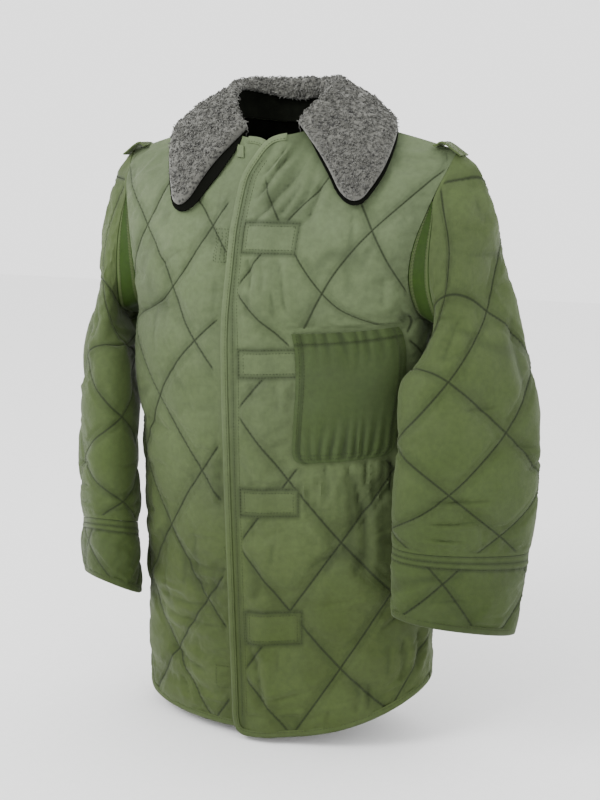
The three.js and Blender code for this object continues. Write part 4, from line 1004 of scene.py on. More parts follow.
# ---- sewing
@dataclass
class Sewing:
    """Rows of visible stitches, gathered from every seam and made as one mesh.

    Each stitch is a slender bead of eight triangles, laid along its row and half sunk in the cloth.
    """

    pitch: float = 4.7
    length: float = 3.4
    width: float = 1.0
    rows: list[tuple[Array, Array, Array]] = field(default_factory=list)

    def run(self, points: Array, ups: Array, keep: Array | None = None) -> None:
        """Adds a row of stitches.

        Args:
            points: places along the row.
            ups: outward directions there.
            keep: whether the cloth is sewn at each place; every place when left out.
        """
        length = travelled(points)
        if length[-1] < 3 * self.pitch:
            return
        at = np.arange(self.pitch / 2, length[-1], self.pitch)
        centre, ahead, behind = (read_along(points, length, at + step) for step in (0.0, 0.8, -0.8))
        up = unit(read_along(ups, length, at))
        good = np.linalg.norm(ahead - behind, axis=1) > 0.2
        if keep is not None:
            good &= np.interp(at, length, keep.astype(float)) > 0.5
        self.rows.append((centre[good], unit(ahead - behind)[good], up[good]))

    def build(self, name: str) -> Piece:
        """All stitches as one object."""
        centre, way, up = (np.concatenate([row[k] for row in self.rows]) for k in range(3))
        across = unit(np.cross(way, up))
        lift = centre + up * 0.15
        ends = way * (self.length / 2)
        corners = np.stack([lift - ends - up * 0.2, lift + ends - up * 0.2, lift + across * self.width / 2,
                            lift - across * self.width / 2, lift + up * 0.65, lift - up * 0.6], 1)
        faces = np.array([(0, 2, 4), (2, 1, 4), (1, 3, 4), (3, 0, 4),
                          (2, 0, 5), (1, 2, 5), (3, 1, 5), (0, 3, 5)])
        count = len(centre)
        every = (faces[None] + 6 * np.arange(count)[:, None, None]).reshape(-1, 3)
        LOG.info("%d stitches", count)
        return new_mesh(name, corners.reshape(-1, 3), [every[:, ::-1]], (0,))


# ---- finishes
def linear(rgb: tuple[int, int, int]) -> tuple[float, float, float, float]:
    """Linear colour of an sRGB one from 0 to 255."""
    c = np.array(rgb) / 255
    out = np.where(c <= 0.04045, c / 12.92, ((c + 0.055) / 1.055) ** 2.4)
    return (*(float(x) for x in out), 1.0)


class Graph:
    """A material and short calls that add nodes to it."""

    def __init__(self, name: str) -> None:
        """Starts a material with its principled shader."""
        self.material = bpy.data.materials.new(name)
        self.material.use_nodes = True
        self.nodes = self.material.node_tree.nodes
        self.links = self.material.node_tree.links
        self.shader = self.nodes["Principled BSDF"]

    def put(self, node: bpy.types.Node, values: dict[str | int, object]) -> bpy.types.Node:
        """Links each socket given to a socket, and sets the others."""
        for key, value in values.items():
            if isinstance(value, Socket):
                self.links.new(value, node.inputs[key])
            else:
                node.inputs[key].default_value = value
        return node

    def add(self, kind: str, values: dict[str | int, object] | None = None,
            **settings: object) -> bpy.types.Node:
        """A new node with its settings and inputs."""
        node = self.nodes.new(kind)
        for key, value in settings.items():
            setattr(node, key, value)
        return self.put(node, values or {})

    def noise(self, vector: Socket, scale: float, detail: float = 2.0) -> Socket:
        """Noise from 0 to 1."""
        values = {"Vector": vector, "Scale": scale, "Detail": detail}
        return self.add("ShaderNodeTexNoise", values).outputs["Fac"]

    def ramp(self, value: Socket, low: float, high: float, a: float, b: float) -> Socket:
        """Value from low to high mapped to a to b, held at the ends."""
        values = {"Value": value, "From Min": low, "From Max": high, "To Min": a, "To Max": b}
        return self.add("ShaderNodeMapRange", values).outputs["Result"]

    def mix(self, share: Socket | float, a: object, b: object, kind: str = "MIX") -> Socket:
        """Two colours mixed."""
        node = self.add("ShaderNodeMix", {0: share, 6: a, 7: b}, data_type="RGBA", blend_type=kind)
        return node.outputs[2]

    def grey(self, value: Socket) -> Socket:
        """A colour whose three channels are one value."""
        return self.add("ShaderNodeCombineColor", {0: value, 1: value, 2: value}).outputs[0]

    def math(self, kind: str, a: object, b: object) -> Socket:
        """Two values put together by the named operation."""
        return self.add("ShaderNodeMath", {0: a, 1: b}, operation=kind).outputs[0]

    def place(self) -> Socket:
        """Object coordinates."""
        return self.add("ShaderNodeTexCoord").outputs["Object"]

    def uv(self, name: str) -> Socket:
        """The named UV map."""
        return self.add("ShaderNodeUVMap", uv_map=name).outputs["UV"]

    def mark(self, name: str) -> Socket:
        """The named point attribute."""
        return self.add("ShaderNodeAttribute", attribute_name=name).outputs["Fac"]

    def toned(self, colour: object, noise: Socket, low: float, high: float) -> Socket:
        """A colour whose brightness a noise drives between low and high."""
        return self.mix(1.0, colour, self.grey(self.ramp(noise, 0.3, 0.7, low, high)), "MULTIPLY")

    def bump(self, height: Socket, distance: float, under: object = None) -> Socket:
        """Bump of a height in metres, over another."""
        values: dict[str | int, object] = {"Height": height, "Distance": distance, "Strength": 1.0}
        if under is not None:
            values["Normal"] = under
        return self.add("ShaderNodeBump", values).outputs["Normal"]


@dataclass(frozen=True)
class Cloth:
    """Woven cloth whose colour runs from one at the hem to another at the chest, as painted light from above.

    Attributes:
        name: material name.
        high: sRGB colour at the chest, painted lighter as if lit from above.
        low: sRGB colour at the hem, painted darker as shade lower down.
        weave: thread pitch in metres.
        grain: height of the weave in metres.
        crinkle: height of the small crinkles in metres.
        sheen: strength of the soft sheen.
        rough: mean roughness.
        sewn: how much darker the cloth is on its stitch lines.
        gloss: strength of the reflection.
        halo: painted shade beside the stitch lines, how much darker the cloth is there.
        folded: painted shade deep in a fold, how much darker the cloth is there.
        shade: sRGB colour of the painted shade.
    """

    name: str
    high: tuple[int, int, int]
    low: tuple[int, int, int]
    weave: float = 0.0011
    grain: float = 0.00009
    crinkle: float = 0.0007
    sheen: float = 0.12
    rough: float = 0.72
    sewn: float = 0.72
    gloss: float = 0.22
    halo: float = 0.24
    folded: float = 0.56
    shade: tuple[int, int, int] = (18, 27, 5)

    def build(self) -> bpy.types.Material:
        """The material: painted top light by height, painted shade on stitches and in folds, with weave and
        crinkle.
        """
        g = Graph(self.name)
        place = g.place()
        height = g.add("ShaderNodeSeparateXYZ", {"Vector": place}).outputs["Z"]
        # Painted light: lighter up at the chest and darker towards the hem, standing in for the light from
        # above.
        colour = g.mix(g.ramp(height, -0.7, -0.12, 0, 1), linear(self.low), linear(self.high))
        colour = g.toned(colour, g.noise(place, 7.0, 3.0), 0.84, 1.13)
        colour = g.toned(colour, g.noise(place, 140.0, 4.0), 0.9, 1.09)
        # Painted shade of the quilting grooves: darker on the stitch lines and in a halo beside them.
        apart, sewn = self.from_line(g), g.mark("sewn")
        line_shade = g.math("MULTIPLY", g.ramp(apart, 0.5, 1.9, self.sewn, 0), sewn)
        halo = g.math("MULTIPLY", g.ramp(apart, 1.0, 13.0, self.halo, 0), sewn)
        # The fold mark adds painted shade in creases, wrinkles and sunk outlines.
        for share in (halo, line_shade, g.ramp(g.mark("fold"), 0.12, 1.0, 0, self.folded)):
            colour = g.mix(share, colour, linear(self.shade))
        groove = g.math("MULTIPLY", g.ramp(apart, 0, 6.0, -1, 0), sewn)
        # A wave texture's band is 0.314 / scale wide.
        values = {"Vector": g.uv("cloth"), "Scale": 0.314 / self.weave, "Distortion": 0.6, "Detail": 1.0}
        woven = g.math("ADD", *(g.add("ShaderNodeTexWave", values, bands_direction=way).outputs["Fac"]
                                for way in ("X", "Y")))
        normal = g.bump(groove, 0.0016)
        normal = g.bump(g.noise(place, 75.0, 3.0), self.crinkle, normal)
        normal = g.bump(g.noise(place, 230.0, 3.0), self.crinkle * 0.3, normal)
        normal = g.bump(woven, self.grain, normal)
        rough = g.ramp(g.noise(place, 18.0), 0.3, 0.7, self.rough - 0.08, self.rough + 0.1)
        g.put(g.shader, {"Base Color": colour, "Roughness": rough, "Normal": normal,
                         "Specular IOR Level": self.gloss, "Sheen Weight": self.sheen,
                         "Sheen Roughness": 0.45, "Sheen Tint": linear((206, 214, 190))})
        return g.material

    @staticmethod
    def from_line(g: Graph) -> Socket:
        """Distance in millimetres from the nearest quilting line, read off the lattice map."""
        parts = g.add("ShaderNodeSeparateXYZ", {"Vector": g.uv("lattice")}).outputs
        least = g.math("MINIMUM", *(g.math("PINGPONG", parts[k], 0.5) for k in (0, 1)))
        return g.math("MULTIPLY", least, Quilt.cell * Quilt.step)


@dataclass(frozen=True)
class Lining:
    """Near-black inside cloth with a faint weave."""

    name: str = "lining"

    def build(self) -> bpy.types.Material:
        """The material."""
        g = Graph(self.name)
        place = g.place()
        colour = g.toned(linear((14, 16, 11)), g.noise(place, 60.0), 0.6, 1.2)
        normal = g.bump(g.noise(place, 420.0), 0.0002)
        g.put(g.shader, {"Base Color": colour, "Roughness": 0.95, "Normal": normal,
                         "Specular IOR Level": 0.05})
        return g.material


@dataclass(frozen=True)
class Pile:
    """Dense curly pile: grey with dark flecks, with painted shade deep in the pile that leaves the tips
    paler.
    """

    name: str = "collar_pile"
    pale: tuple[int, int, int] = (77, 77, 72)
    dark: tuple[int, int, int] = (19, 19, 18)

    def build(self) -> bpy.types.Material:
        """The material: colour by fleck, by painted shade deep in the pile and by each tuft's own tone."""
        g = Graph(self.name)
        place = g.place()
        fleck = g.ramp(g.noise(place, 230.0, 4.0), 0.36, 0.52, 0, 1)
        patch = g.ramp(g.noise(place, 30.0, 2.0), 0.35, 0.65, -0.12, 0.12)
        colour = g.mix(g.math("ADD", fleck, patch), linear(self.dark), linear(self.pale))
        # The mark holds each tuft's own random tone and painted shade in the troughs between curls and at the
        # tufts' roots.
        colour = g.mix(1.0, colour, g.grey(g.ramp(g.mark("tone_and_shade"), 0, 1, 0.55, 1.35)), "MULTIPLY")
        normal = g.bump(g.noise(place, 380.0, 3.0), 0.0009)
        g.put(g.shader, {"Base Color": colour, "Roughness": 0.95, "Normal": normal, "Specular IOR Level": 0.1,
                         "Sheen Weight": 0.5, "Sheen Roughness": 0.6, "Sheen Tint": linear((200, 200, 196))})
        return g.material


@dataclass(frozen=True)
class Flat:
    """One plain colour with a little noise, for threads and the floor."""

    name: str
    colour: tuple[int, int, int]
    rough: float = 0.6
    drift: float = 0.12

    def build(self) -> bpy.types.Material:
        """The material."""
        g = Graph(self.name)
        colour = g.toned(linear(self.colour), g.noise(g.place(), 90.0), 1 - self.drift, 1 + self.drift)
        g.put(g.shader, {"Base Color": colour, "Roughness": self.rough, "Specular IOR Level": 0.2})
        return g.material


@dataclass
class Wardrobe:
    """The finishes, each made once."""

    # Each cloth's colours are for the chest and the hem; the step between them is painted light from above.
    shell: Cloth = Cloth("shell_cloth", (77, 89, 62), (52, 64, 27))
    sleeve: Cloth = Cloth("sleeve_cloth", (61, 74, 39), (45, 58, 21))
    pocket: Cloth = Cloth("pocket_cloth", (45, 58, 26), (45, 58, 26), crinkle=0.0004, sheen=0.08)
    gusset: Cloth = Cloth("gusset_cloth", (32, 54, 1), (24, 40, 1), crinkle=0.0004, sheen=0.05)
    # Near-black in place of the under-collar's own green: painted shade under the collar's fall.
    under: Cloth = Cloth("under_collar_cloth", (7, 8, 5), (6, 7, 5), sheen=0.0, gloss=0.03)
    tape: Cloth = Cloth("binding_cloth", (79, 91, 63), (54, 66, 31), crinkle=0.0005, sheen=0.12)
    dark_tape: Cloth = Cloth("cuff_binding_cloth", (54, 66, 33), (44, 56, 22), crinkle=0.0005)
    # Dark thread: painted shade of the quilting grooves, darker than the thread's own colour.
    thread: Flat = Flat("thread", (34, 40, 21), 0.6)
    lining: Lining = Lining()
    pile: Pile = Pile()
    made: dict[str, bpy.types.Material] = field(default_factory=dict)

    def of(self, name: str) -> bpy.types.Material:
        """The named finish's material."""
        if name not in self.made:
            self.made[name] = getattr(self, name).build()
        return self.made[name]

    def dress(self, piece: Piece, nodes: Sequence[str], slot: str, *names: str) -> None:
        """Gives a piece its finishes and sets it on the frame.

        Args:
            piece: the piece, which rides the one body.
            nodes: the nodes it stands for.
            slot: not used.
            names: its finishes, in the order of its faces' slots.
        """
        for name in names:
            piece.data.materials.append(self.of(name))
        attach(piece, "root")
        if nodes:
            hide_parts(*nodes)

    def pad(self, panel: Panel, node: str, slot: str, finish: str, sewing: Sewing) -> None:
        """Makes a swollen panel a padded piece with its stitches."""
        piece = panel.shell().build()
        self.dress(piece, [node], slot, finish, "lining")
        panel.sew(sewing)


# ---- sub-assemblies
@dataclass
class Body:
    """Fronts and back: quilted panels, their seams and marks."""

    cut: BodyCut
    quilt: Quilt
    swell: Swell
    half_gap: float = 0.2
    fronts: dict[Side, Panel] = field(default_factory=dict)

    def __post_init__(self) -> None:
        """Cuts the fronts and the back, and gives their seams shared directions."""
        sides = {side: self.cut.side(side is Side.LEFT) for side in Side}
        self.halves = sides
        left, right = sides[Side.LEFT], sides[Side.RIGHT]
        back = np.concatenate([left[1][:, ::-1], right[1][:, 1:]], 1)
        self.back_normals = grid_normals(back)
        self.front_normals = {s: grid_normals(sides[s][0], flip=s is Side.RIGHT) for s in Side}
        for side in Side:
            self.share_seams(side)
        for side in Side:
            marks = LEFT_CREASES if side is Side.LEFT else RIGHT_CREASES
            self.fronts[side] = Panel(
                f"front_{side.word}_quilted", sides[side][0], self.front_normals[side], self.quilt, -1.0,
                self.cut.cell, self.front_soft(side), flip=side is Side.RIGHT, creases=marks,
                seed=3 if side is Side.LEFT else 11, extra=self.front_extra(side))
        self.back = Panel("back_panel_quilted", back, self.back_normals, self.quilt, 0.0, self.cut.cell,
                          self.back_soft, creases=BACK_CREASES, seed=23, fine=3)

    def share_seams(self, side: Side) -> None:
        """Gives the side and shoulder seams one set of directions on both panels."""
        front = self.front_normals[side]
        edge = 0 if side is Side.LEFT else -1
        rows = slice(0, self.cut.arm_row + 1)
        both = unit(front[rows, -1] + self.back_normals[rows, edge])
        front[rows, -1] = both
        self.back_normals[rows, edge] = both
        count = self.cut.shoulder_cols + 1
        top = self.back_normals[-1, :count] if side is Side.LEFT else self.back_normals[-1, ::-1][:count]
        both = unit(front[-1, ::-1][:count] + top)
        front[-1, -count:] = both[::-1]
        if side is Side.LEFT:
            self.back_normals[-1, :count] = both
        else:
            self.back_normals[-1, -count:] = both[::-1]

    def under_fall(self, v: Array, out: Array) -> Array:
        """Share of padding left where the collar presses on the top rows."""
        return 1 - 0.9 * smoothstep(v, 31, 35) * (1 - smoothstep(out, 0.8, 1))

    def near_arm(self, v: Array, out: Array) -> Array:
        """Share of padding left by the underarm point."""
        return smoothstep(np.maximum(np.abs(v - self.cut.arm_row - 1), out) / 4, 0.25, 1)

    def front_soft(self, side: Side) -> Callable[[Array, Array], Array]:
        """Where a front's padding is full."""
        flat = 1 if side is Side.LEFT else 3
        cols = self.cut.front_cols

        def soft(v: Array, u: Array) -> Array:
            """Share of full padding at rows v and columns u."""
            share = from_ends(v, self.cut.rows, 1.5) * from_ends(u, cols, 2) * smoothstep(u, flat, flat + 2)
            share = share * self.under_fall(v, u / 15) * self.near_arm(v, cols - u)
            if side is Side.LEFT:
                share = share * (1 - smoothstep(POCKET.depth(v, u), -0.7, -0.3))
                for area in RECTANGLES:
                    share = np.minimum(share, 0.04 + smoothstep(-area.depth(v, u), 0.0, 0.8))
            return share
        return soft

    def front_extra(self, side: Side) -> Callable[[Array, Array, Array], Array]:
        """Relief of gathers under the pocket, or of the soft wrinkles of the other front."""
        def gathers(v: Array, u: Array, points: Array) -> Array:
            """Sine ripples under the pocket and round the rectangles, with sunk outlines and edge."""
            below = smoothstep(v, 12.6, 15.4) * (1 - smoothstep(v, 16.6, 17.0))
            wide = smoothstep(u, 4.6, 6.2) * (1 - smoothstep(u, 12.0, 13.8))
            phase = 3.0 * lattice_noise(points * [1, 1, 0.3], 30, 41)
            ripple = np.sin(u * 19.2 / 12.5 * 2 * np.pi + phase) * 1.5
            drawn = np.zeros(v.shape)
            for area in RECTANGLES:
                near = bell(area.depth(v, u), 0.28)
                drawn -= 1.6 * bell(area.depth(v, u), 0.18)
                drawn += near * 0.9 * np.sin((v * 23.4 + u * 15) / 10.5 * 2 * np.pi + phase)
            edge = bell(u - 1.1, 0.55)
            return ripple * below * wide + drawn - 1.0 * edge

        def wrinkles(v: Array, u: Array, points: Array) -> Array:
            """Level noise low on the front."""
            low = 1 - smoothstep(v, 14, 20)
            wide = smoothstep(u, 2, 5) * (1 - smoothstep(u, 14, 17))
            return 2.2 * lattice_noise(points * [0.3, 0.3, 1.0], 26, 57) * low * wide

        return gathers if side is Side.LEFT else wrinkles

    def back_soft(self, v: Array, u: Array) -> Array:
        """Where the back's padding is full."""
        count = 2 * self.cut.half_back_cols
        half = self.cut.half_back_cols
        share = from_ends(v, self.cut.rows, 1.5) * from_ends(u, count, 1.5)
        return share * self.under_fall(v, np.abs(u - half) / 14) * self.near_arm(v, np.minimum(u, count - u))

    def coarse_skin(self) -> list[tuple[Array, bool]]:
        """Outer skins at the grid's own fineness, with their flips, for other pieces to stand off."""
        return [(panel.coarse_outer(), panel.flip) for panel in (*self.fronts.values(), self.back)]

    def armhole(self, side: Side) -> Array:
        """Armhole ring: under the arm first, up the front, down the back."""
        front, back = self.halves[side]
        return np.concatenate([front[self.cut.arm_row:, -1], back[self.cut.arm_row + 1:-1, -1][::-1]])

    def trim(self) -> None:
        """Draws the sewn edges in by half a seam's gap."""
        for panel in (*self.fronts.values(), self.back):
            panel.grid = panel.grid.copy()
            draw_in(panel.grid.swapaxes(0, 1), -1, self.half_gap)
            if panel is self.back:
                draw_in(panel.grid.swapaxes(0, 1), 0, self.half_gap)
            draw_in(panel.grid[:, 1:-1], -1, self.half_gap)

    def build(self, wardrobe: Wardrobe, sewing: Sewing) -> None:
        """Makes and dresses the three panels and their stitches."""
        self.trim()
        for side, panel in self.fronts.items():
            panel.swollen(self.swell)
            if side is Side.LEFT:
                self.press(panel)
            wardrobe.pad(panel, f"front_{side.word}", "front", "shell", sewing)
        wardrobe.pad(self.back.swollen(self.swell), "back_panel", "shell", "shell", sewing)
        self.marks(sewing)

    @staticmethod
    def press(panel: Panel) -> None:
        """Marks the sunk outlines of the stitched rectangles and of the front binding as folds, for painted
        shade there.
        """
        drawn = [bell(area.depth(panel.v, panel.u), 0.2) for area in RECTANGLES]
        edge = 0.8 * bell(panel.u - 0.85, 0.3)
        panel.folded = np.maximum.reduce([panel.folded, edge, *drawn])

    def marks(self, sewing: Sewing) -> None:
        """Stitched rectangles of the left front and stitched marks of the right one."""
        left, right = self.fronts[Side.LEFT], self.fronts[Side.RIGHT]
        for area in RECTANGLES:
            for inset in (0.0, 0.35):
                left.sew_line(sewing, *area.outline(inset))
        t = np.linspace(0, 1, 40)
        for panel in (left, right):
            for u in (0.85, 1.25):
                v = 1.2 + 34.5 * np.linspace(0, 1, 400)
                panel.sew_line(sewing, v, np.full(400, u))
        for u in (3.5, 3.9, 4.3):
            right.sew_line(sewing, 29.8 + 1.9 * t, np.full(40, u))
        for area in (Area(1.6, 4.4, 2.4, 3.8), Area(3.3, 4.5, 29.7, 31.8)):
            right.sew_line(sewing, *area.outline())
        for u0, v0, v1 in ((2.2, 6.4, 8.6), (3.0, 10.6, 11.6)):
            right.sew_line(sewing, v0 + (v1 - v0) * t, u0 + 0.2 * t)


@dataclass
class Arm:
    """One sleeve with its cuff, gusset and shoulder loop."""

    side: Side
    cut: SleeveCut
    quilt: Quilt
    swell: Swell
    body: Body
    seam_gap: float = 0.3
    gusset_gap: float = 0.4

    def __post_init__(self) -> None:
        """Cuts the sleeve, cuff and gusset from the body's armhole."""
        armhole = self.body.armhole(self.side)
        flip = self.side is Side.LEFT
        self.count = len(armhole)
        start = self.cut.start(armhole, self.side.value)
        skin = skin_tree(*self.body.coarse_skin())
        self.whole = self.cut.grid(start, self.side.value, skin)
        self.normals = grid_normals(self.whole, flip=flip, wrap=True)
        self.gusset = self.cut.gusset(armhole, start)
        self.gusset_normals = grid_normals(self.gusset, flip=flip)
        self.share_seams()
        rows = self.cut.rows
        spread = np.linalg.norm(self.whole[np.minimum(np.arange(rows + 1) + 1, rows)]
                                - self.whole[np.maximum(np.arange(rows + 1) - 1, 0)], axis=-1)
        room = np.clip(spread / 44, 0.15, 1) ** 1.5
        self.room = np.concatenate([room, room[:, :1]], 1)[..., None]
        name = self.side.word
        sleeve = self.whole[:rows + 1].copy()
        for end in (0, -1):
            draw_in(sleeve, end, self.seam_gap)
        self.sleeve = Panel(f"sleeve_{name}_quilted", sleeve, self.normals[:rows + 1], self.quilt, 2.0,
                            (22.5, 12.5), self.soft, flip=flip, wrap=True, creases=SLEEVE_CREASES,
                            seed=31 if flip else 47, stretch=UPRIGHT)
        self.cuff = self.cuff_panel(flip)

    def soft(self, v: Array, u: Array) -> Array:
        """Where the sleeve's padding is full: not at its ends, nor where its rows crowd under the arm."""
        return from_ends(v, self.cut.rows, 1.5) * sample(self.room, v, np.mod(u, self.count))[..., 0]

    def share_seams(self) -> None:
        """One set of directions along the armhole and gusset seams, on all the pieces that meet there."""
        arm_row = self.body.cut.arm_row
        places = self.cut.gusset_places(self.count)
        edge = 0 if self.side is Side.LEFT else -1
        front = self.body.front_normals[self.side]
        back = self.body.back_normals
        ring = np.concatenate([front[arm_row:, -1], back[arm_row + 1:-1, edge][::-1]])
        partner = self.normals[0].copy()
        partner[places] = self.gusset_normals[0]
        both = unit(ring + partner)
        self.gusset_normals[0] = both[places]
        other = np.setdiff1d(np.arange(self.count), places)
        self.normals[0, other] = both[other]
        front[arm_row:, -1] = both[:len(front) - arm_row]
        back[arm_row + 1:-1, edge] = both[len(front) - arm_row:][::-1]
        back[arm_row, edge] = both[0]
        back[-1, edge] = both[len(front) - arm_row - 1]
        seam = unit(self.gusset_normals[-1] + self.normals[0, places])
        self.gusset_normals[-1] = seam
        self.normals[0, places] = seam

    def cuff_panel(self, flip: bool) -> Panel:
        """The cuff as a panel opened at its vent, five rows high."""
        turn = (np.arange(self.count + 1) + self.cut.vent) % self.count
        rows = self.whole[self.cut.rows:, turn]
        part = (self.cut.gap_top + (self.cut.gap_foot - self.cut.gap_top)
                * np.arange(self.cut.cuff_rows + 1) / self.cut.cuff_rows) / 2
        first, last = unit(rows[:, 1] - rows[:, 0]), unit(rows[:, -2] - rows[:, -1])
        rows[:, 0] += first * part[:, None]
        rows[:, -1] += last * part[:, None]
        draw_in(rows, 0, self.seam_gap)
        finer = refined(rows, 5, 1)[::3]
        normals = refined(self.normals[self.cut.rows:, turn], 5, 1)[::3]
        count = len(finer) - 1
        quilt = Quilt(puff=4.6)

        def soft(v: Array, u: Array) -> Array:
            """Share of full padding: none on the ridges nor at the edges."""
            return smoothstep(v, 0.7, 1.7) * from_ends(v, count, 0.8) * from_ends(u, self.count, 1.0)

        def ridges(v: Array, _: Array, points: Array) -> Array:
            """Two crimped ridges round the sleeve's foot seam."""
            sway = 0.05 * lattice_noise(points, 40, 71)
            first_ridge = bell(v - 0.24 + sway, 0.14)
            second_ridge = bell(v - 0.66 + sway, 0.15)
            crimp = 0.8 + 0.35 * lattice_noise(points, 11, 72)
            return 3.2 * crimp * (first_ridge + 0.85 * second_ridge)

        return Panel(f"cuff_{self.side.word}_quilted", finer, unit(normals), quilt, 2.0 + self.cut.vent,
                     (22.0, 12.5), soft, flip=flip, seed=61 if flip else 67, extra=ridges,
                     begin=float(self.cut.rows), stretch=UPRIGHT)

    def build(self, wardrobe: Wardrobe, sewing: Sewing) -> None:
        """Makes and dresses the sleeve, cuff, gusset, loop and vent tab."""
        word = self.side.word
        for panel, kind in ((self.sleeve, "sleeve"), (self.cuff, "cuff")):
            panel.swollen(self.swell)
            if panel is self.cuff:
                # Painted shade along three lines round the cuff, at its seam and beside its ridges.
                drawn = [bell(panel.v - row, 0.13) for row in (0.0, 0.45, 0.92)]
                panel.folded = np.maximum.reduce([panel.folded, *drawn])
            wardrobe.pad(panel, f"{kind}_{word}", kind, "sleeve", sewing)
        for v in (0.46, 0.9):
            u = np.linspace(0.6, self.count - 0.6, 500)
            self.cuff.sew_line(sewing, np.full(500, v), u)
        self.build_gusset(wardrobe, sewing)
        self.build_loop(wardrobe, sewing)
        self.build_vent_tab(wardrobe)

    def build_gusset(self, wardrobe: Wardrobe, sewing: Sewing) -> None:
        """The unpadded underarm piece, with a turned strip along its two curved edges."""
        grid = refined(self.gusset, 12, 6)
        way = unit(refined(self.gusset_normals, 12, 6))
        rows, cols = grid.shape[:2]
        t = np.linspace(0, 1, rows)[:, None] * np.ones(cols)
        tip = np.sin(np.pi * np.linspace(0, 1, cols))[None, :]
        near = np.minimum(t, 1 - t)
        strip = smoothstep(near, 0.03, 0.05) * (1 - smoothstep(near, 0.2, 0.24))
        inner = grid + way * 0.5
        for end in (0, -1):
            draw_in(inner, end, self.gusset_gap)
        folds = 1.1 * lattice_noise(grid * [0.5, 1, 0.5], 16, 81) * np.sin(np.pi * t)
        lift = 1.2 + 0.9 * strip * tip + np.maximum(folds, -0.7) * tip
        outer = inner + way * lift[..., None]
        name = f"gusset_{self.side.word}_cloth"
        edge = ((strip[1:] + strip[:-1]) / 2 > 0.5)[:, :1]
        zones = np.where(np.broadcast_to(edge, (rows - 1, cols - 1)), 2, 0).astype(np.int32)
        piece = Shell(name, outer, inner, flip=self.side is Side.LEFT, zones=zones).build()
        wardrobe.dress(piece, [f"gusset_{self.side.word}"], "gusset", "gusset", "lining", "sleeve")
        for row in (int(rows * 0.12), int(rows * 0.21), int(rows * 0.8)):
            sewing.run(outer[row], way[row])

    def build_loop(self, wardrobe: Wardrobe, sewing: Sewing) -> None:
        """The folded band that stands over the shoulder's end."""
        path = np.array([[236, -42], [241, -41], [247, -37], [256, -41], [266, -48], [276, -55]], float)
        across = np.array([-6.0, 3, 12, 27])
        grid = np.stack([np.broadcast_to(path[:, :1] * self.side.value, (6, 4)),
                         np.broadcast_to(across, (6, 4)),
                         np.broadcast_to(path[:, 1:], (6, 4))], -1)
        grid = refined(grid, 5, 6)
        skin = skin_tree(*self.body.coarse_skin(), (self.sleeve.coarse_outer(closed=True), self.sleeve.flip))
        flip = self.side is Side.LEFT
        grid = stood_off(grid.reshape(-1, 3), skin, 1.2).reshape(grid.shape)
        way = grid_normals(grid, flip=flip)
        outer = grid + way * (2.2 + 0.3 * lattice_noise(grid, 9, 91))[..., None]
        name = f"shoulder_loop_{self.side.word}_cloth"
        piece = Shell(name, outer, grid, flip=flip, plain_inside=False).build()
        wardrobe.dress(piece, [f"shoulder_loop_{self.side.word}"], "shell", "sleeve")
        for column in (3, -4):
            sewing.run(outer[2:-2, column], way[2:-2, column])

    def build_vent_tab(self, wardrobe: Wardrobe) -> None:
        """A small stitched-down tab beside the cuff's vent."""
        v, u = np.meshgrid(np.linspace(3.85, 4.55, 9), np.linspace(0.9, 2.3, 15), indexing="ij")
        v = v + (u - 1.6) * 0.12
        under = self.cuff.at(v, u, 0.5)
        over = self.cuff.at(v, u, 2.0)
        name = f"vent_tab_{self.side.word}"
        piece = Shell(name, over, under, flip=self.cuff.flip, plain_inside=False).build()
        wardrobe.dress(piece, [], "cuff", "dark_tape")


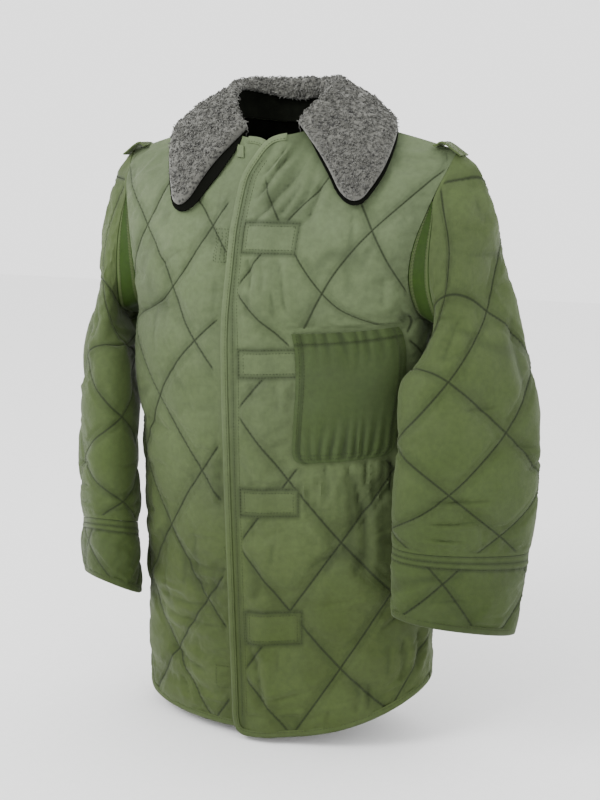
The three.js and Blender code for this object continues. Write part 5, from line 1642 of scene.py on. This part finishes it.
@dataclass(frozen=True)
class CollarCut:
    """Sizes of the turned-down collar: stand, fold and fall.

    Fall columns: share along the collar from the centre back, x, y and z of the edge. Stand columns: share,
    height and lean of the fold over the neckline.
    """

    cols: int = 26
    across: int = 11
    rest: float = 5.4
    inset: float = 3.0
    bend: float = 5.0
    end_left: float = 0.37
    end_right: float = 0.28
    keys: tuple[float, ...] = (0, 2, 4, 5, 6, 8.5, 11)
    fall_left: Table = (
        (0, 0, 110, -26), (0.3, 92, 92, -17), (0.52, 164, 30, -10),
        (0.7, 184, -26, -42), (0.86, 182, -76, -86), (1, 155, -108, -134),
    )
    fall_right: Table = (
        (0, 0, 110, -26), (0.3, 93, 92, -17), (0.52, 164, 28, -10),
        (0.7, 168, -34, -26), (0.86, 142, -86, -88), (1, 114, -119, -146),
    )
    stand: Table = (
        (0, 56, -2), (0.4, 50, 6), (0.7, 36, 4), (0.88, 19, 1), (1, 9, 0),
    )

    def neck(self, cut: BodyCut, side: Side) -> Array:
        """Neckline of one side from the centre back to the collar's front end."""
        front = cut.neckline(True)
        if side is Side.LEFT:
            front = cut.lifted(front)
        end = self.end_left if side is Side.LEFT else self.end_right
        kept = evenly(front, 100)[round(end * 100):]
        return evenly(np.concatenate([cut.neckline(False), kept[::-1][1:]]), self.cols // 2)

    def half(self, cut: BodyCut, side: Side) -> Array:
        """Grid of one side: rows from the neckline over the fold to the edge."""
        neck = self.neck(cut, side)
        along = np.linspace(0, 1, len(neck))
        fall = np.array(self.fall_left if side is Side.LEFT else self.fall_right)
        stand = np.array(self.stand)
        height, lean = through_keys(stand[:, 0], stand[:, 1:], along).T
        edge = through_keys(fall[:, 0], fall[:, 1:], along)
        up = np.array([0, 0, 1.0])
        out = unit(np.stack([neck[:, 0], neck[:, 1] - 4, np.zeros(len(neck))], -1))
        foot = neck + up * 0.6 - out * self.inset
        fold = foot + up * height[:, None] + out * lean[:, None]
        fall_way = unit((edge - fold) * [1, 1, 0])
        over = unit(out + (fall_way - out) * along[:, None] ** 3)
        bend = np.minimum(self.bend, height * 0.3)[:, None]
        beyond = fold + over * bend - up * bend
        bulge = beyond + (edge - beyond) * 0.45 + over * 5 + up * 5
        middle = (foot + fold) / 2 - out * lean[:, None] * 0.2
        points = np.array([foot, middle, fold - over * bend - up * bend, fold, beyond, bulge, edge])
        grid = through_keys(self.keys, points, np.arange(self.across + 1))
        return grid * [side.value, 1, 1]

    def grid(self, cut: BodyCut, skin: BVHTree) -> Array:
        """The sheet on which the collar's two layers meet, standing off the panels below it."""
        left, right = self.half(cut, Side.LEFT), self.half(cut, Side.RIGHT)
        grid = np.concatenate([right[:, :0:-1], left], 1)
        for turn in range(3):
            if turn > 0:
                mean = (grid[5:-2, 1:-1] + grid[7:, 1:-1] + grid[6:-1, :-2] + grid[6:-1, 2:]) / 4
                grid[6:-1, 1:-1] += (mean - grid[6:-1, 1:-1]) * 0.5
            for row in range(7, len(grid)):
                grid[row] = stood_off(grid[row], skin, self.rest)
        return grid


@dataclass
class Collar:
    """The pile collar: curly pile over a cloth under-collar."""

    cut: CollarCut
    body: Body
    fur: float = 8.0
    edge: float = 3.0
    tufts: int = 7200
    seed: int = 5
    round_rows: float = 1.4
    round_cols: float = 1.0
    # The under-collar is widened past the pile along the fall and, more, along the right leaf's front edge: a
    # near-black brim of painted shade under the collar.
    shade_brim: float = 0.16
    shade: tuple[float, ...] = (0.5, 0.85, 0.75, 0.5, 0.22)

    def build(self, wardrobe: Wardrobe, sewing: Sewing) -> None:
        """Makes and dresses the pile, its tufts and the under-collar."""
        sheet = self.cut.grid(self.body.cut, skin_tree(*self.body.coarse_skin()))
        way = grid_normals(sheet)
        self.build_pile(wardrobe, sheet, way)
        self.build_under(wardrobe, sewing, sheet, way)

    def depth(self, v: Array, u: Array) -> Array:
        """Thickness of the pile: thin at the edges, with a groove at the centre back seam."""
        share = np.minimum(from_ends(v, self.cut.across, 1.0), from_ends(u, self.cut.cols, 0.6))
        round_edge = np.sqrt(np.clip(1 - (1 - share) ** 2, 0, 1))
        seam = bell(u - self.cut.cols / 2, 0.1)
        return self.edge + (self.fur - self.edge) * round_edge - 3.0 * seam

    def curls(self, points: Array) -> Array:
        """Relief of the curls: sharp troughs between round crowns, at two sizes, over slow swells."""
        big = 1 - 2 * np.abs(lattice_noise(points, 9.0, 101)) ** 0.8
        small = 1 - 2 * np.abs(lattice_noise(points, 4.6, 102)) ** 0.8
        return 1.5 * big + 0.9 * small + 1.1 * lattice_noise(points, 32, 103)

    def rounded(self, v: Array, u: Array) -> tuple[Array, Array]:
        """Grid places moved so that the two points of the fall are cut round.

        In a rectangle at each point, the square is drawn onto a quarter disc: both distances are scaled by
        the greater over the length of the two.
        """
        down = np.clip((v - (self.cut.across - self.round_rows)) / self.round_rows, 0, 1)
        near = np.minimum(u, self.cut.cols - u)
        side = np.clip((self.round_cols - near) / self.round_cols, 0, 1)
        scale = np.maximum(down, side) / np.maximum(np.hypot(down, side), 1e-6)
        scale = np.where((down > 0) & (side > 0), scale, 1.0)
        v = np.where(down > 0, self.cut.across - self.round_rows * (1 - down * scale), v)
        near = np.where(side > 0, self.round_cols * (1 - side * scale), near)
        return v, np.where(u < self.cut.cols / 2, near, self.cut.cols - near)

    def read(self, grid: Array, rows: int, cols: int) -> Array:
        """A collar grid read finely, its points rounded."""
        fine = refined(grid, 7, 11)
        v, u = self.lines(rows, cols)
        v, u = self.rounded(v, u)
        return sample(fine, v * 7, u * 11)

    def lines(self, rows: int, cols: int) -> tuple[Array, Array]:
        """Fractional rows and columns at `rows` by `cols` steps a cell."""
        v = np.arange(self.cut.across * rows + 1) / rows
        u = np.arange(self.cut.cols * cols + 1) / cols
        return np.meshgrid(v, u, indexing="ij")

    def build_pile(self, wardrobe: Wardrobe, sheet: Array, way: Array) -> None:
        """The broken surface of the pile, with tufts, over the fold and down part of the stand."""
        rows, cols = 7, 11
        grid, up = self.read(sheet, rows, cols), unit(self.read(way, rows, cols))
        v, u = self.lines(rows, cols)
        along = np.abs(u - self.cut.cols / 2) / (self.cut.cols / 2)
        foot = through_keys((0, 0.3, 0.6, 1), np.array([2.3, 2.9, 3.9, 4.4]), along.ravel()).reshape(u.shape)
        pile = smoothstep(v - foot, -0.1, 0.35)
        inner = grid + up * 0.3
        inside = np.minimum(from_ends(v, self.cut.across, 0.4), from_ends(u, self.cut.cols, 0.3)) * pile
        relief = np.clip(self.curls(grid), -4, 4) * inside
        deep = 1.2 + (self.depth(v, u) - 1.2) * pile
        outer = inner + up * np.maximum(deep + relief, 0.8)[..., None]
        # Painted shade: darker in the troughs between curls, lighter on their crowns.
        depth_shade = np.clip(0.5 + relief / 5, 0, 1)
        zones = np.where((v - foot)[:-1, :-1] < 0, 1, 0).astype(np.int32)
        piece = Shell("collar_pile", outer, inner, marks={"tone_and_shade": depth_shade}, zones=zones).build()
        wardrobe.dress(piece, ["collar_fur"], "fur", "pile", "lining")
        tufts = self.build_tufts(outer, up, inside[:-1, :-1] > 0.5)
        wardrobe.dress(tufts, [], "fur", "pile")

    def build_tufts(self, outer: Array, up: Array, grown: Array) -> Piece:
        """Short bent tufts, three-sided and pointed, strewn evenly by area with a fixed seed.

        A tuft's middle line starts along the surface's own direction and turns over towards a random
        direction along the surface.
        """
        rng = np.random.default_rng(self.seed)
        side = np.cross(outer[1:, 1:] - outer[:-1, :-1], outer[1:, :-1] - outer[:-1, 1:])
        area = (np.linalg.norm(side, axis=-1) * grown).ravel()
        pick = rng.choice(area.size, self.tufts, p=area / area.sum())
        j, i = np.divmod(pick, outer.shape[1] - 1)
        s, t = rng.random(self.tufts), rng.random(self.tufts)
        root = sample(outer, j + t, i + s)
        normal = unit(sample(up, j + t, i + s))
        random_way = rng.normal(size=(self.tufts, 3))
        lean = unit(random_way - normal * np.sum(random_way * normal, -1, keepdims=True))
        aside = np.cross(normal, lean)
        length = rng.uniform(3.6, 7.2, self.tufts)[:, None]
        radius = rng.uniform(0.7, 1.25, self.tufts)[:, None]
        steps = np.array([0, 0.35, 0.7, 1.0])
        rings = []
        for n, (step, thick) in enumerate(zip(steps, (1.0, 0.95, 0.6, 0.0))):
            turn = step * 2.0
            middle = root - normal + length * 0.55 * (normal * math.sin(turn) + lean * (1 - math.cos(turn)))
            if thick == 0:
                rings.append(middle[:, None])
                continue
            rise = normal * -math.sin(turn) + lean * math.cos(turn)
            for corner in range(3):
                angle = 2 * math.pi * corner / 3 + 0.4 * n
                rings.append((middle + radius * thick * (rise * math.cos(angle)
                                                         + aside * math.sin(angle)))[:, None])
        points = np.concatenate(rings, 1)
        faces = []
        for n in range(2):
            for c in range(3):
                a, b = 3 * n + c, 3 * n + (c + 1) % 3
                faces += [(a, b, b + 3), (a, b + 3, a + 3)]
        faces += [(6 + c, 6 + (c + 1) % 3, 9) for c in range(3)] + [(0, 2, 1)]
        faces = np.array(faces)
        every = (faces[None] + 10 * np.arange(self.tufts)[:, None, None]).reshape(-1, 3)
        piece = new_mesh("collar_tufts", points.reshape(-1, 3), [every], (0,))
        # Painted shade: each tuft darker at its root and paler towards its tip, over its own random tone.
        paler = np.tile([0.1] * 3 + [0.2] * 3 + [0.3] * 4, self.tufts)
        write_mark(piece.data, "tone_and_shade", np.repeat(rng.random(self.tufts), 10) * 0.7 + paler)
        return piece

    def build_under(self, wardrobe: Wardrobe, sewing: Sewing, sheet: Array, way: Array) -> None:
        """The cloth under-collar, near-black and widened past the pile as painted shade under the fall, sewn
        in two rows near its edge.
        """
        wide_sheet = sheet.copy()
        # Painted shade: the edge widened past the pile as a dark brim.
        wide_sheet[-1] += (sheet[-1] - sheet[-2]) * self.shade_brim
        wide_sheet[7:, 0] += (sheet[7:, 0] - sheet[7:, 1]) * np.array(self.shade)[:, None]
        wide_sheet[8:, -1] += (sheet[8:, -1] - sheet[8:, -2]) * self.shade_brim
        grid, up = self.read(wide_sheet, 3, 4), unit(self.read(way, 3, 4))
        over = grid - up * 0.3
        under = grid - up * 1.9
        piece = Shell("under_collar_cloth", over, under, plain_inside=False).build()
        wardrobe.dress(piece, ["under_collar"], "under_collar", "under")
        for row in (-3, -5):
            sewing.run(under[row], -up[row])


@dataclass
class ChestPocket:
    """The patch pocket of the left front, gathered at its mouth and foot."""

    front: Panel
    thick: float = 2.0
    sag: float = 5.0
    gap: float = 0.6
    mouth: float = 0.78
    corner: float = 0.1

    def places(self) -> tuple[Array, Array, Array, Array]:
        """Grid rows and columns of the pocket's own grid, and its shares upwards and across."""
        t, s = np.meshgrid(np.linspace(0, 1, 65), np.linspace(0, 1, 53), indexing="ij")
        low = np.clip(1 - t / self.corner, 0, 1)
        narrow = 1 - 0.2 * (1 - np.sqrt(1 - low**2))
        middle = (POCKET.u0 + POCKET.u1) / 2
        u = middle + (s - 0.5) * (POCKET.u1 - POCKET.u0) * narrow
        v = POCKET.v0 + t * (POCKET.v1 - POCKET.v0)
        return v, u, t, s

    def build(self, wardrobe: Wardrobe, sewing: Sewing) -> None:
        """Makes and dresses the pocket and its edge stitching."""
        v, u, t, s = self.places()
        swell = np.sin(np.pi * self.mouth * t) ** 0.7 * np.sin(np.pi * s) ** 0.7
        points = self.front.at(v, u)
        way = self.front.direction(v, u)
        inside = np.sin(np.pi * s) ** 0.6
        phase = 2.5 * lattice_noise(points * [1, 1, 0.25], 26, 111)
        mouth = smoothstep(t, 0.62, 1.0) * np.sin(s * 2 * np.pi * 8.5 + phase) * 1.9
        foot = (1 - smoothstep(t, 0.04, 0.42)) * smoothstep(t, 0.0, 0.05)
        foot = foot * np.sin(s * 2 * np.pi * 10 + phase) * 2.2
        slack = 1.4 * lattice_noise(points * [0.7, 0.7, 1.0], 42, 112)
        slack = slack * np.sin(np.pi * np.clip(t, 0, 1)) ** 0.5
        hem = 1.2 * smoothstep(t, 0.905, 0.915)
        border = 1.2 * (1 - smoothstep(s, 0.045, 0.06))
        loose = np.maximum((mouth + foot + slack) * inside, -0.8 * swell * self.sag)
        low = np.maximum(self.gap + self.sag * swell + loose, self.gap)
        under = points + way * low[..., None]
        over = points + way * (low + self.thick + hem + border)[..., None]
        # Painted shade along the pocket's sunk border and hem, and in the troughs of its gathers.
        lines = bell(np.minimum(s, 1 - s) - 0.065, 0.014) + bell(t - 0.9, 0.012)
        folds = np.clip(lines + np.clip(-(mouth + foot) / 1.8, 0, 1) * inside, 0, 1)
        piece = Shell("chest_pocket_cloth", over, under, plain_inside=False, marks={"fold": folds}).build()
        wardrobe.dress(piece, ["chest_pocket"], "pocket", "pocket")
        for column in (2, 4, -3, -5):
            sewing.run(over[3:, column], way[3:, column])
        for row, end in ((2, 3), (4, 4), (-7, 2)):
            sewing.run(over[row, end:-end], way[row, end:-end])


@dataclass
class Tape:
    """Folded binding around an edge of a wall: a closed band with a rounded nose.

    Each section is 18 points: nine outside from flap to flap over the nose, and nine inside going back.
    """

    wrap: float = 9.0
    thick: float = 1.2
    gap: float = 0.7
    inner_gap: float = 1.0
    places: int = 18

    def sections(self, out: Array, inn: Array, inwards: Array, up: Array) -> Array:
        """Section points along an edge.

        Args:
            out: edge of the outer skin.
            inn: edge of the inner skin.
            inwards: directions from the edge into the panel.
            up: outward directions.

        Returns:
            Array of sections by 18 points by 3.
        """
        middle = (out + inn) / 2
        wave = (1 + 0.22 * lattice_noise(out, 15, 121))[:, None]
        full, far = self.gap + self.thick, self.inner_gap + self.thick
        w = self.wrap
        outside = ((out, w, self.gap + 0.3), (out, w - 1.2, full), (out, 2.2, full + 0.5),
                   (out, -1.5, full - 0.2), (middle, -3.0, 0), (inn, -1.5, 0.2 - far),
                   (inn, 2.2, -far), (inn, w - 1.2, -far), (inn, w, -self.inner_gap - 0.3))
        inside = ((out, w, self.gap), (out, w - 1.2, self.gap), (out, 2.2, self.gap), (out, -0.5, self.gap),
                  (middle, -0.8, 0), (inn, -0.5, -self.inner_gap), (inn, 2.2, -self.inner_gap),
                  (inn, w - 1.2, -self.inner_gap), (inn, w, -self.inner_gap))
        first = [base + inwards * x + up * h * (wave if 0 < n < 8 else 1)
                 for n, (base, x, h) in enumerate(outside)]
        second = [base + inwards * x + up * h for base, x, h in inside][::-1]
        return np.stack(first + second, 1)

    def build(self, name: str, out: Array, inn: Array, inwards: Array, up: Array,
              sewing: Sewing) -> Piece:
        """The band as an object, with its row of stitches."""
        rings = self.sections(out, inn, inwards, up)
        count = len(rings)
        ids = np.arange(count * self.places).reshape(count, self.places)
        near = np.concatenate([ids, ids[:, :1]], 1)
        sides = np.stack([near[:-1, :-1], near[:-1, 1:], near[1:, 1:], near[1:, :-1]], -1).reshape(-1, 4)
        k = np.arange(8)
        cap = np.stack([k, k + 1, 16 - k, 17 - k], -1)
        faces = np.concatenate([sides, cap[:, ::-1], cap + self.places * (count - 1)])
        points = rings.reshape(-1, 3)
        corners = points[faces]
        volume = np.einsum("ij,ij->i", corners[:, 0], np.cross(corners[:, 1], corners[:, 2])).sum()
        volume += np.einsum("ij,ij->i", corners[:, 0], np.cross(corners[:, 2], corners[:, 3])).sum()
        piece = new_mesh(name, points, [faces if volume > 0 else faces[:, ::-1]], (0,))
        self.map_cloth(piece.data, rings)
        sewing.run(rings[:, 1] * 0.75 + rings[:, 2] * 0.25, up)
        return piece

    @staticmethod
    def map_cloth(mesh: bpy.types.Mesh, rings: Array) -> None:
        """UV map in metres: along the band, and round its section."""
        along, across = travelled(rings[:, 4]) * MM, travelled(rings.mean(0)) * MM
        ring, place = np.divmod(corner_points(mesh), rings.shape[1])
        write_uv(mesh, "cloth", np.stack([along[ring], across[place]], -1))


def eased(values: Array, reach: int) -> Array:
    """Running mean over `reach` places each way along a path, the ends kept."""
    pad = np.concatenate([np.repeat(values[:1], reach, 0), values, np.repeat(values[-1:], reach, 0)])
    total = np.cumsum(np.concatenate([np.zeros((1, 3)), pad]), 0)
    mean = (total[2 * reach + 1:] - total[:-2 * reach - 1]) / (2 * reach + 1)
    mean[0], mean[-1] = values[0], values[-1]
    return mean


@dataclass
class Bindings:
    """Tapes bound over the hems, front edges and cuff edges."""

    body: Body
    arms: tuple[Arm, ...]
    tape: Tape = field(default_factory=Tape)

    def along(self, panel: Panel, v: Array, u: Array, dv: Array, du: Array, name: str,
              sewing: Sewing) -> Piece:
        """A tape along edge places (v, u) of a panel, with the steps that lead inwards from them."""
        rows, cols = 2 * panel.fine, panel.fine
        out = sample(panel.outer, v * rows, u * cols)
        inn = sample(panel.inner, v * rows, u * cols)
        up = unit(sample(panel.way, v * rows, u * cols))
        ahead = sample(panel.inner, (v + dv) * rows, (u + du) * cols)
        inwards = eased(unit(ahead - inn), 3)
        tangent = unit(eased(np.gradient(inn, axis=0), 3))
        inwards = unit(inwards - tangent * np.sum(inwards * tangent, -1, keepdims=True) * 0.7)
        return self.tape.build(name, eased(out, 2), eased(inn, 2), inwards, unit(eased(up, 3)), sewing)

    @staticmethod
    def path(*runs: tuple[Array | float, ...]) -> tuple[Array, Array, Array, Array]:
        """Edge places and the steps inwards from them.

        Args:
            runs: rows, columns, and steps along both, of each run; a number holds for its whole run.

        Returns:
            Rows, columns and both steps of all the runs, one after another.
        """
        spread = [np.broadcast_arrays(*np.atleast_1d(*run)) for run in runs]
        v, u, dv, du = (np.concatenate([run[k] for run in spread]).astype(float) for k in range(4))
        return v, u, dv * 0.6, du * 0.8

    def front_path(self, neck_end: float) -> tuple[Array, Array, Array, Array]:
        """Edge places of a front: hem, front edge and neck edge, with the steps inwards."""
        top = self.body.cut.rows
        hem = np.arange(self.body.cut.front_cols - 0.05, 0.3, -0.2)
        edge = np.arange(0.3, top - 0.25, 0.14)
        neck = np.arange(0.3, neck_end, 0.2)
        return self.path((0, hem, 1, 0), (0, 0, 0.7, 0.9), (edge, 0, 0, 1), (top, 0, -0.7, 0.9),
                         (top, neck, -1, 0))

    def cuff_path(self, panel: Panel) -> tuple[Array, Array, Array, Array]:
        """Edge places of a cuff: down one side of the vent, round the foot and up the other."""
        rows, cols = len(panel.grid) - 1.0, panel.grid.shape[1] - 1.0
        down = np.arange(0.1, rows - 0.2, 0.2)
        foot = np.arange(0.3, cols - 0.25, 0.25)
        return self.path((down, 0, 0, 1), (rows, 0, -0.6, 0.9), (rows, foot, -1, 0),
                         (rows, cols, -0.6, -0.9), (down[::-1], cols, 0, -1))

    def build(self, wardrobe: Wardrobe, sewing: Sewing) -> None:
        """Makes and dresses the five tapes."""
        jobs: list[tuple[Panel, tuple[Array, Array, Array, Array], str, str]] = []
        for side, neck_end in ((Side.LEFT, 2.1), (Side.RIGHT, 2.0)):
            path, node = self.front_path(neck_end), f"tape_front_{side.word}"
            jobs.append((self.body.fronts[side], path, node, "tape"))
        hem = np.arange(0.05, 2 * self.body.cut.half_back_cols, 0.2)
        jobs.append((self.body.back, self.path((0, hem, 1, 0)), "tape_back_hem", "tape"))
        for arm in self.arms:
            jobs.append((arm.cuff, self.cuff_path(arm.cuff), f"tape_cuff_{arm.side.word}", "dark_tape"))
        for panel, path, node, finish in jobs:
            piece = self.along(panel, *path, f"{node}_cloth", sewing)
            wardrobe.dress(piece, [node], "tape", finish)


@dataclass
class ThroatTab:
    """The small pale tab that shows in the open neck, sewn to the right front."""

    front: Panel

    def build(self, wardrobe: Wardrobe) -> None:
        """Makes and dresses the tab."""
        v, u = np.meshgrid(np.linspace(35.9, 36.5, 9), np.linspace(2.4, 3.1, 9), indexing="ij")
        bulge = 0.8 * np.sin(np.pi * (u - 2.4) / 0.7)
        piece = Shell("throat_tab_cloth", self.front.at(v, u, 2.4 + bulge), self.front.at(v, u, 0.9 + bulge),
                      flip=self.front.flip, plain_inside=False).build()
        wardrobe.dress(piece, ["throat_tab"], "tab", "tape")


@dataclass
class Jacket:
    """The whole jacket, put together from its sub-assemblies."""

    wardrobe: Wardrobe = field(default_factory=Wardrobe)
    sewing: Sewing = field(default_factory=Sewing)

    def build(self) -> None:
        """Makes every piece."""
        swell = Swell()
        body = Body(BodyCut(), Quilt(), swell)
        arms = tuple(Arm(side, SleeveCut(), Quilt(puff=5.6), swell, body) for side in Side)
        body.build(self.wardrobe, self.sewing)
        for arm in arms:
            arm.build(self.wardrobe, self.sewing)
        Collar(CollarCut(), body).build(self.wardrobe, self.sewing)
        ChestPocket(body.fronts[Side.LEFT]).build(self.wardrobe, self.sewing)
        ThroatTab(body.fronts[Side.RIGHT]).build(self.wardrobe)
        Bindings(body, arms).build(self.wardrobe, self.sewing)
        thread = self.sewing.build("sewing_threads")
        # The threads are dark as painted shade of the quilting grooves.
        self.wardrobe.dress(thread, [], "shell", "thread")


# ---- studio
@dataclass
class Studio:
    """Pale floor, soft lights and the camera."""

    floor_height: float = -0.925
    place: tuple[float, float, float] = (0.942, -1.877, -0.040)
    heading: float = 26.0
    pitch: float = 10.3
    lens: float = 63.14

    def build(self) -> None:
        """Sets up the floor, the lights, the surroundings and the camera."""
        mesh = bpy.data.meshes.new("floor")
        half, z = 6.0, self.floor_height
        mesh.from_pydata([(-half, -half, z), (half, -half, z), (half, half, z), (-half, half, z)], [],
                         [(0, 1, 2, 3)])
        floor = linked("floor", mesh)
        mesh.materials.append(Flat("floor_paper", (244, 244, 244), 0.9, 0.01).build())
        world = bpy.data.worlds.new("studio")
        world.use_nodes = True
        background = world.node_tree.nodes["Background"]
        background.inputs["Color"].default_value = (1.0, 1.0, 1.0, 1.0)
        background.inputs["Strength"].default_value = 2.1
        bpy.context.scene.world = world
        self.light("key", (-1.5, -2.6, 1.9), 1.6, 110.0)
        self.light("fill", (2.8, -1.6, 0.6), 2.2, 8.0)
        camera = bpy.data.cameras.new("camera")
        camera.sensor_fit = "AUTO"
        camera.sensor_width = 36.0
        camera.lens = self.lens
        camera.clip_end = 50.0
        view = linked("camera", camera)
        view.location = self.place
        view.rotation_euler = (math.radians(90 - self.pitch), 0, math.radians(self.heading))
        bpy.context.scene.camera = view

    @staticmethod
    def light(name: str, place: tuple[float, float, float], size: float, power: float) -> None:
        """A square soft light aimed at the jacket's middle."""
        data = bpy.data.lights.new(name, "AREA")
        data.size = size
        data.energy = power
        lamp = linked(name, data)
        lamp.location = place
        lamp.rotation_euler = (Vector((0, 0, -0.4)) - Vector(place)).to_track_quat("-Z", "Y").to_euler()


def main() -> None:
    """Builds the jacket and its studio."""
    logging.basicConfig(level=logging.INFO)
    Jacket().build()
    Studio().build()
    bpy.context.view_layer.update()


if __name__ == "__main__":
    main()
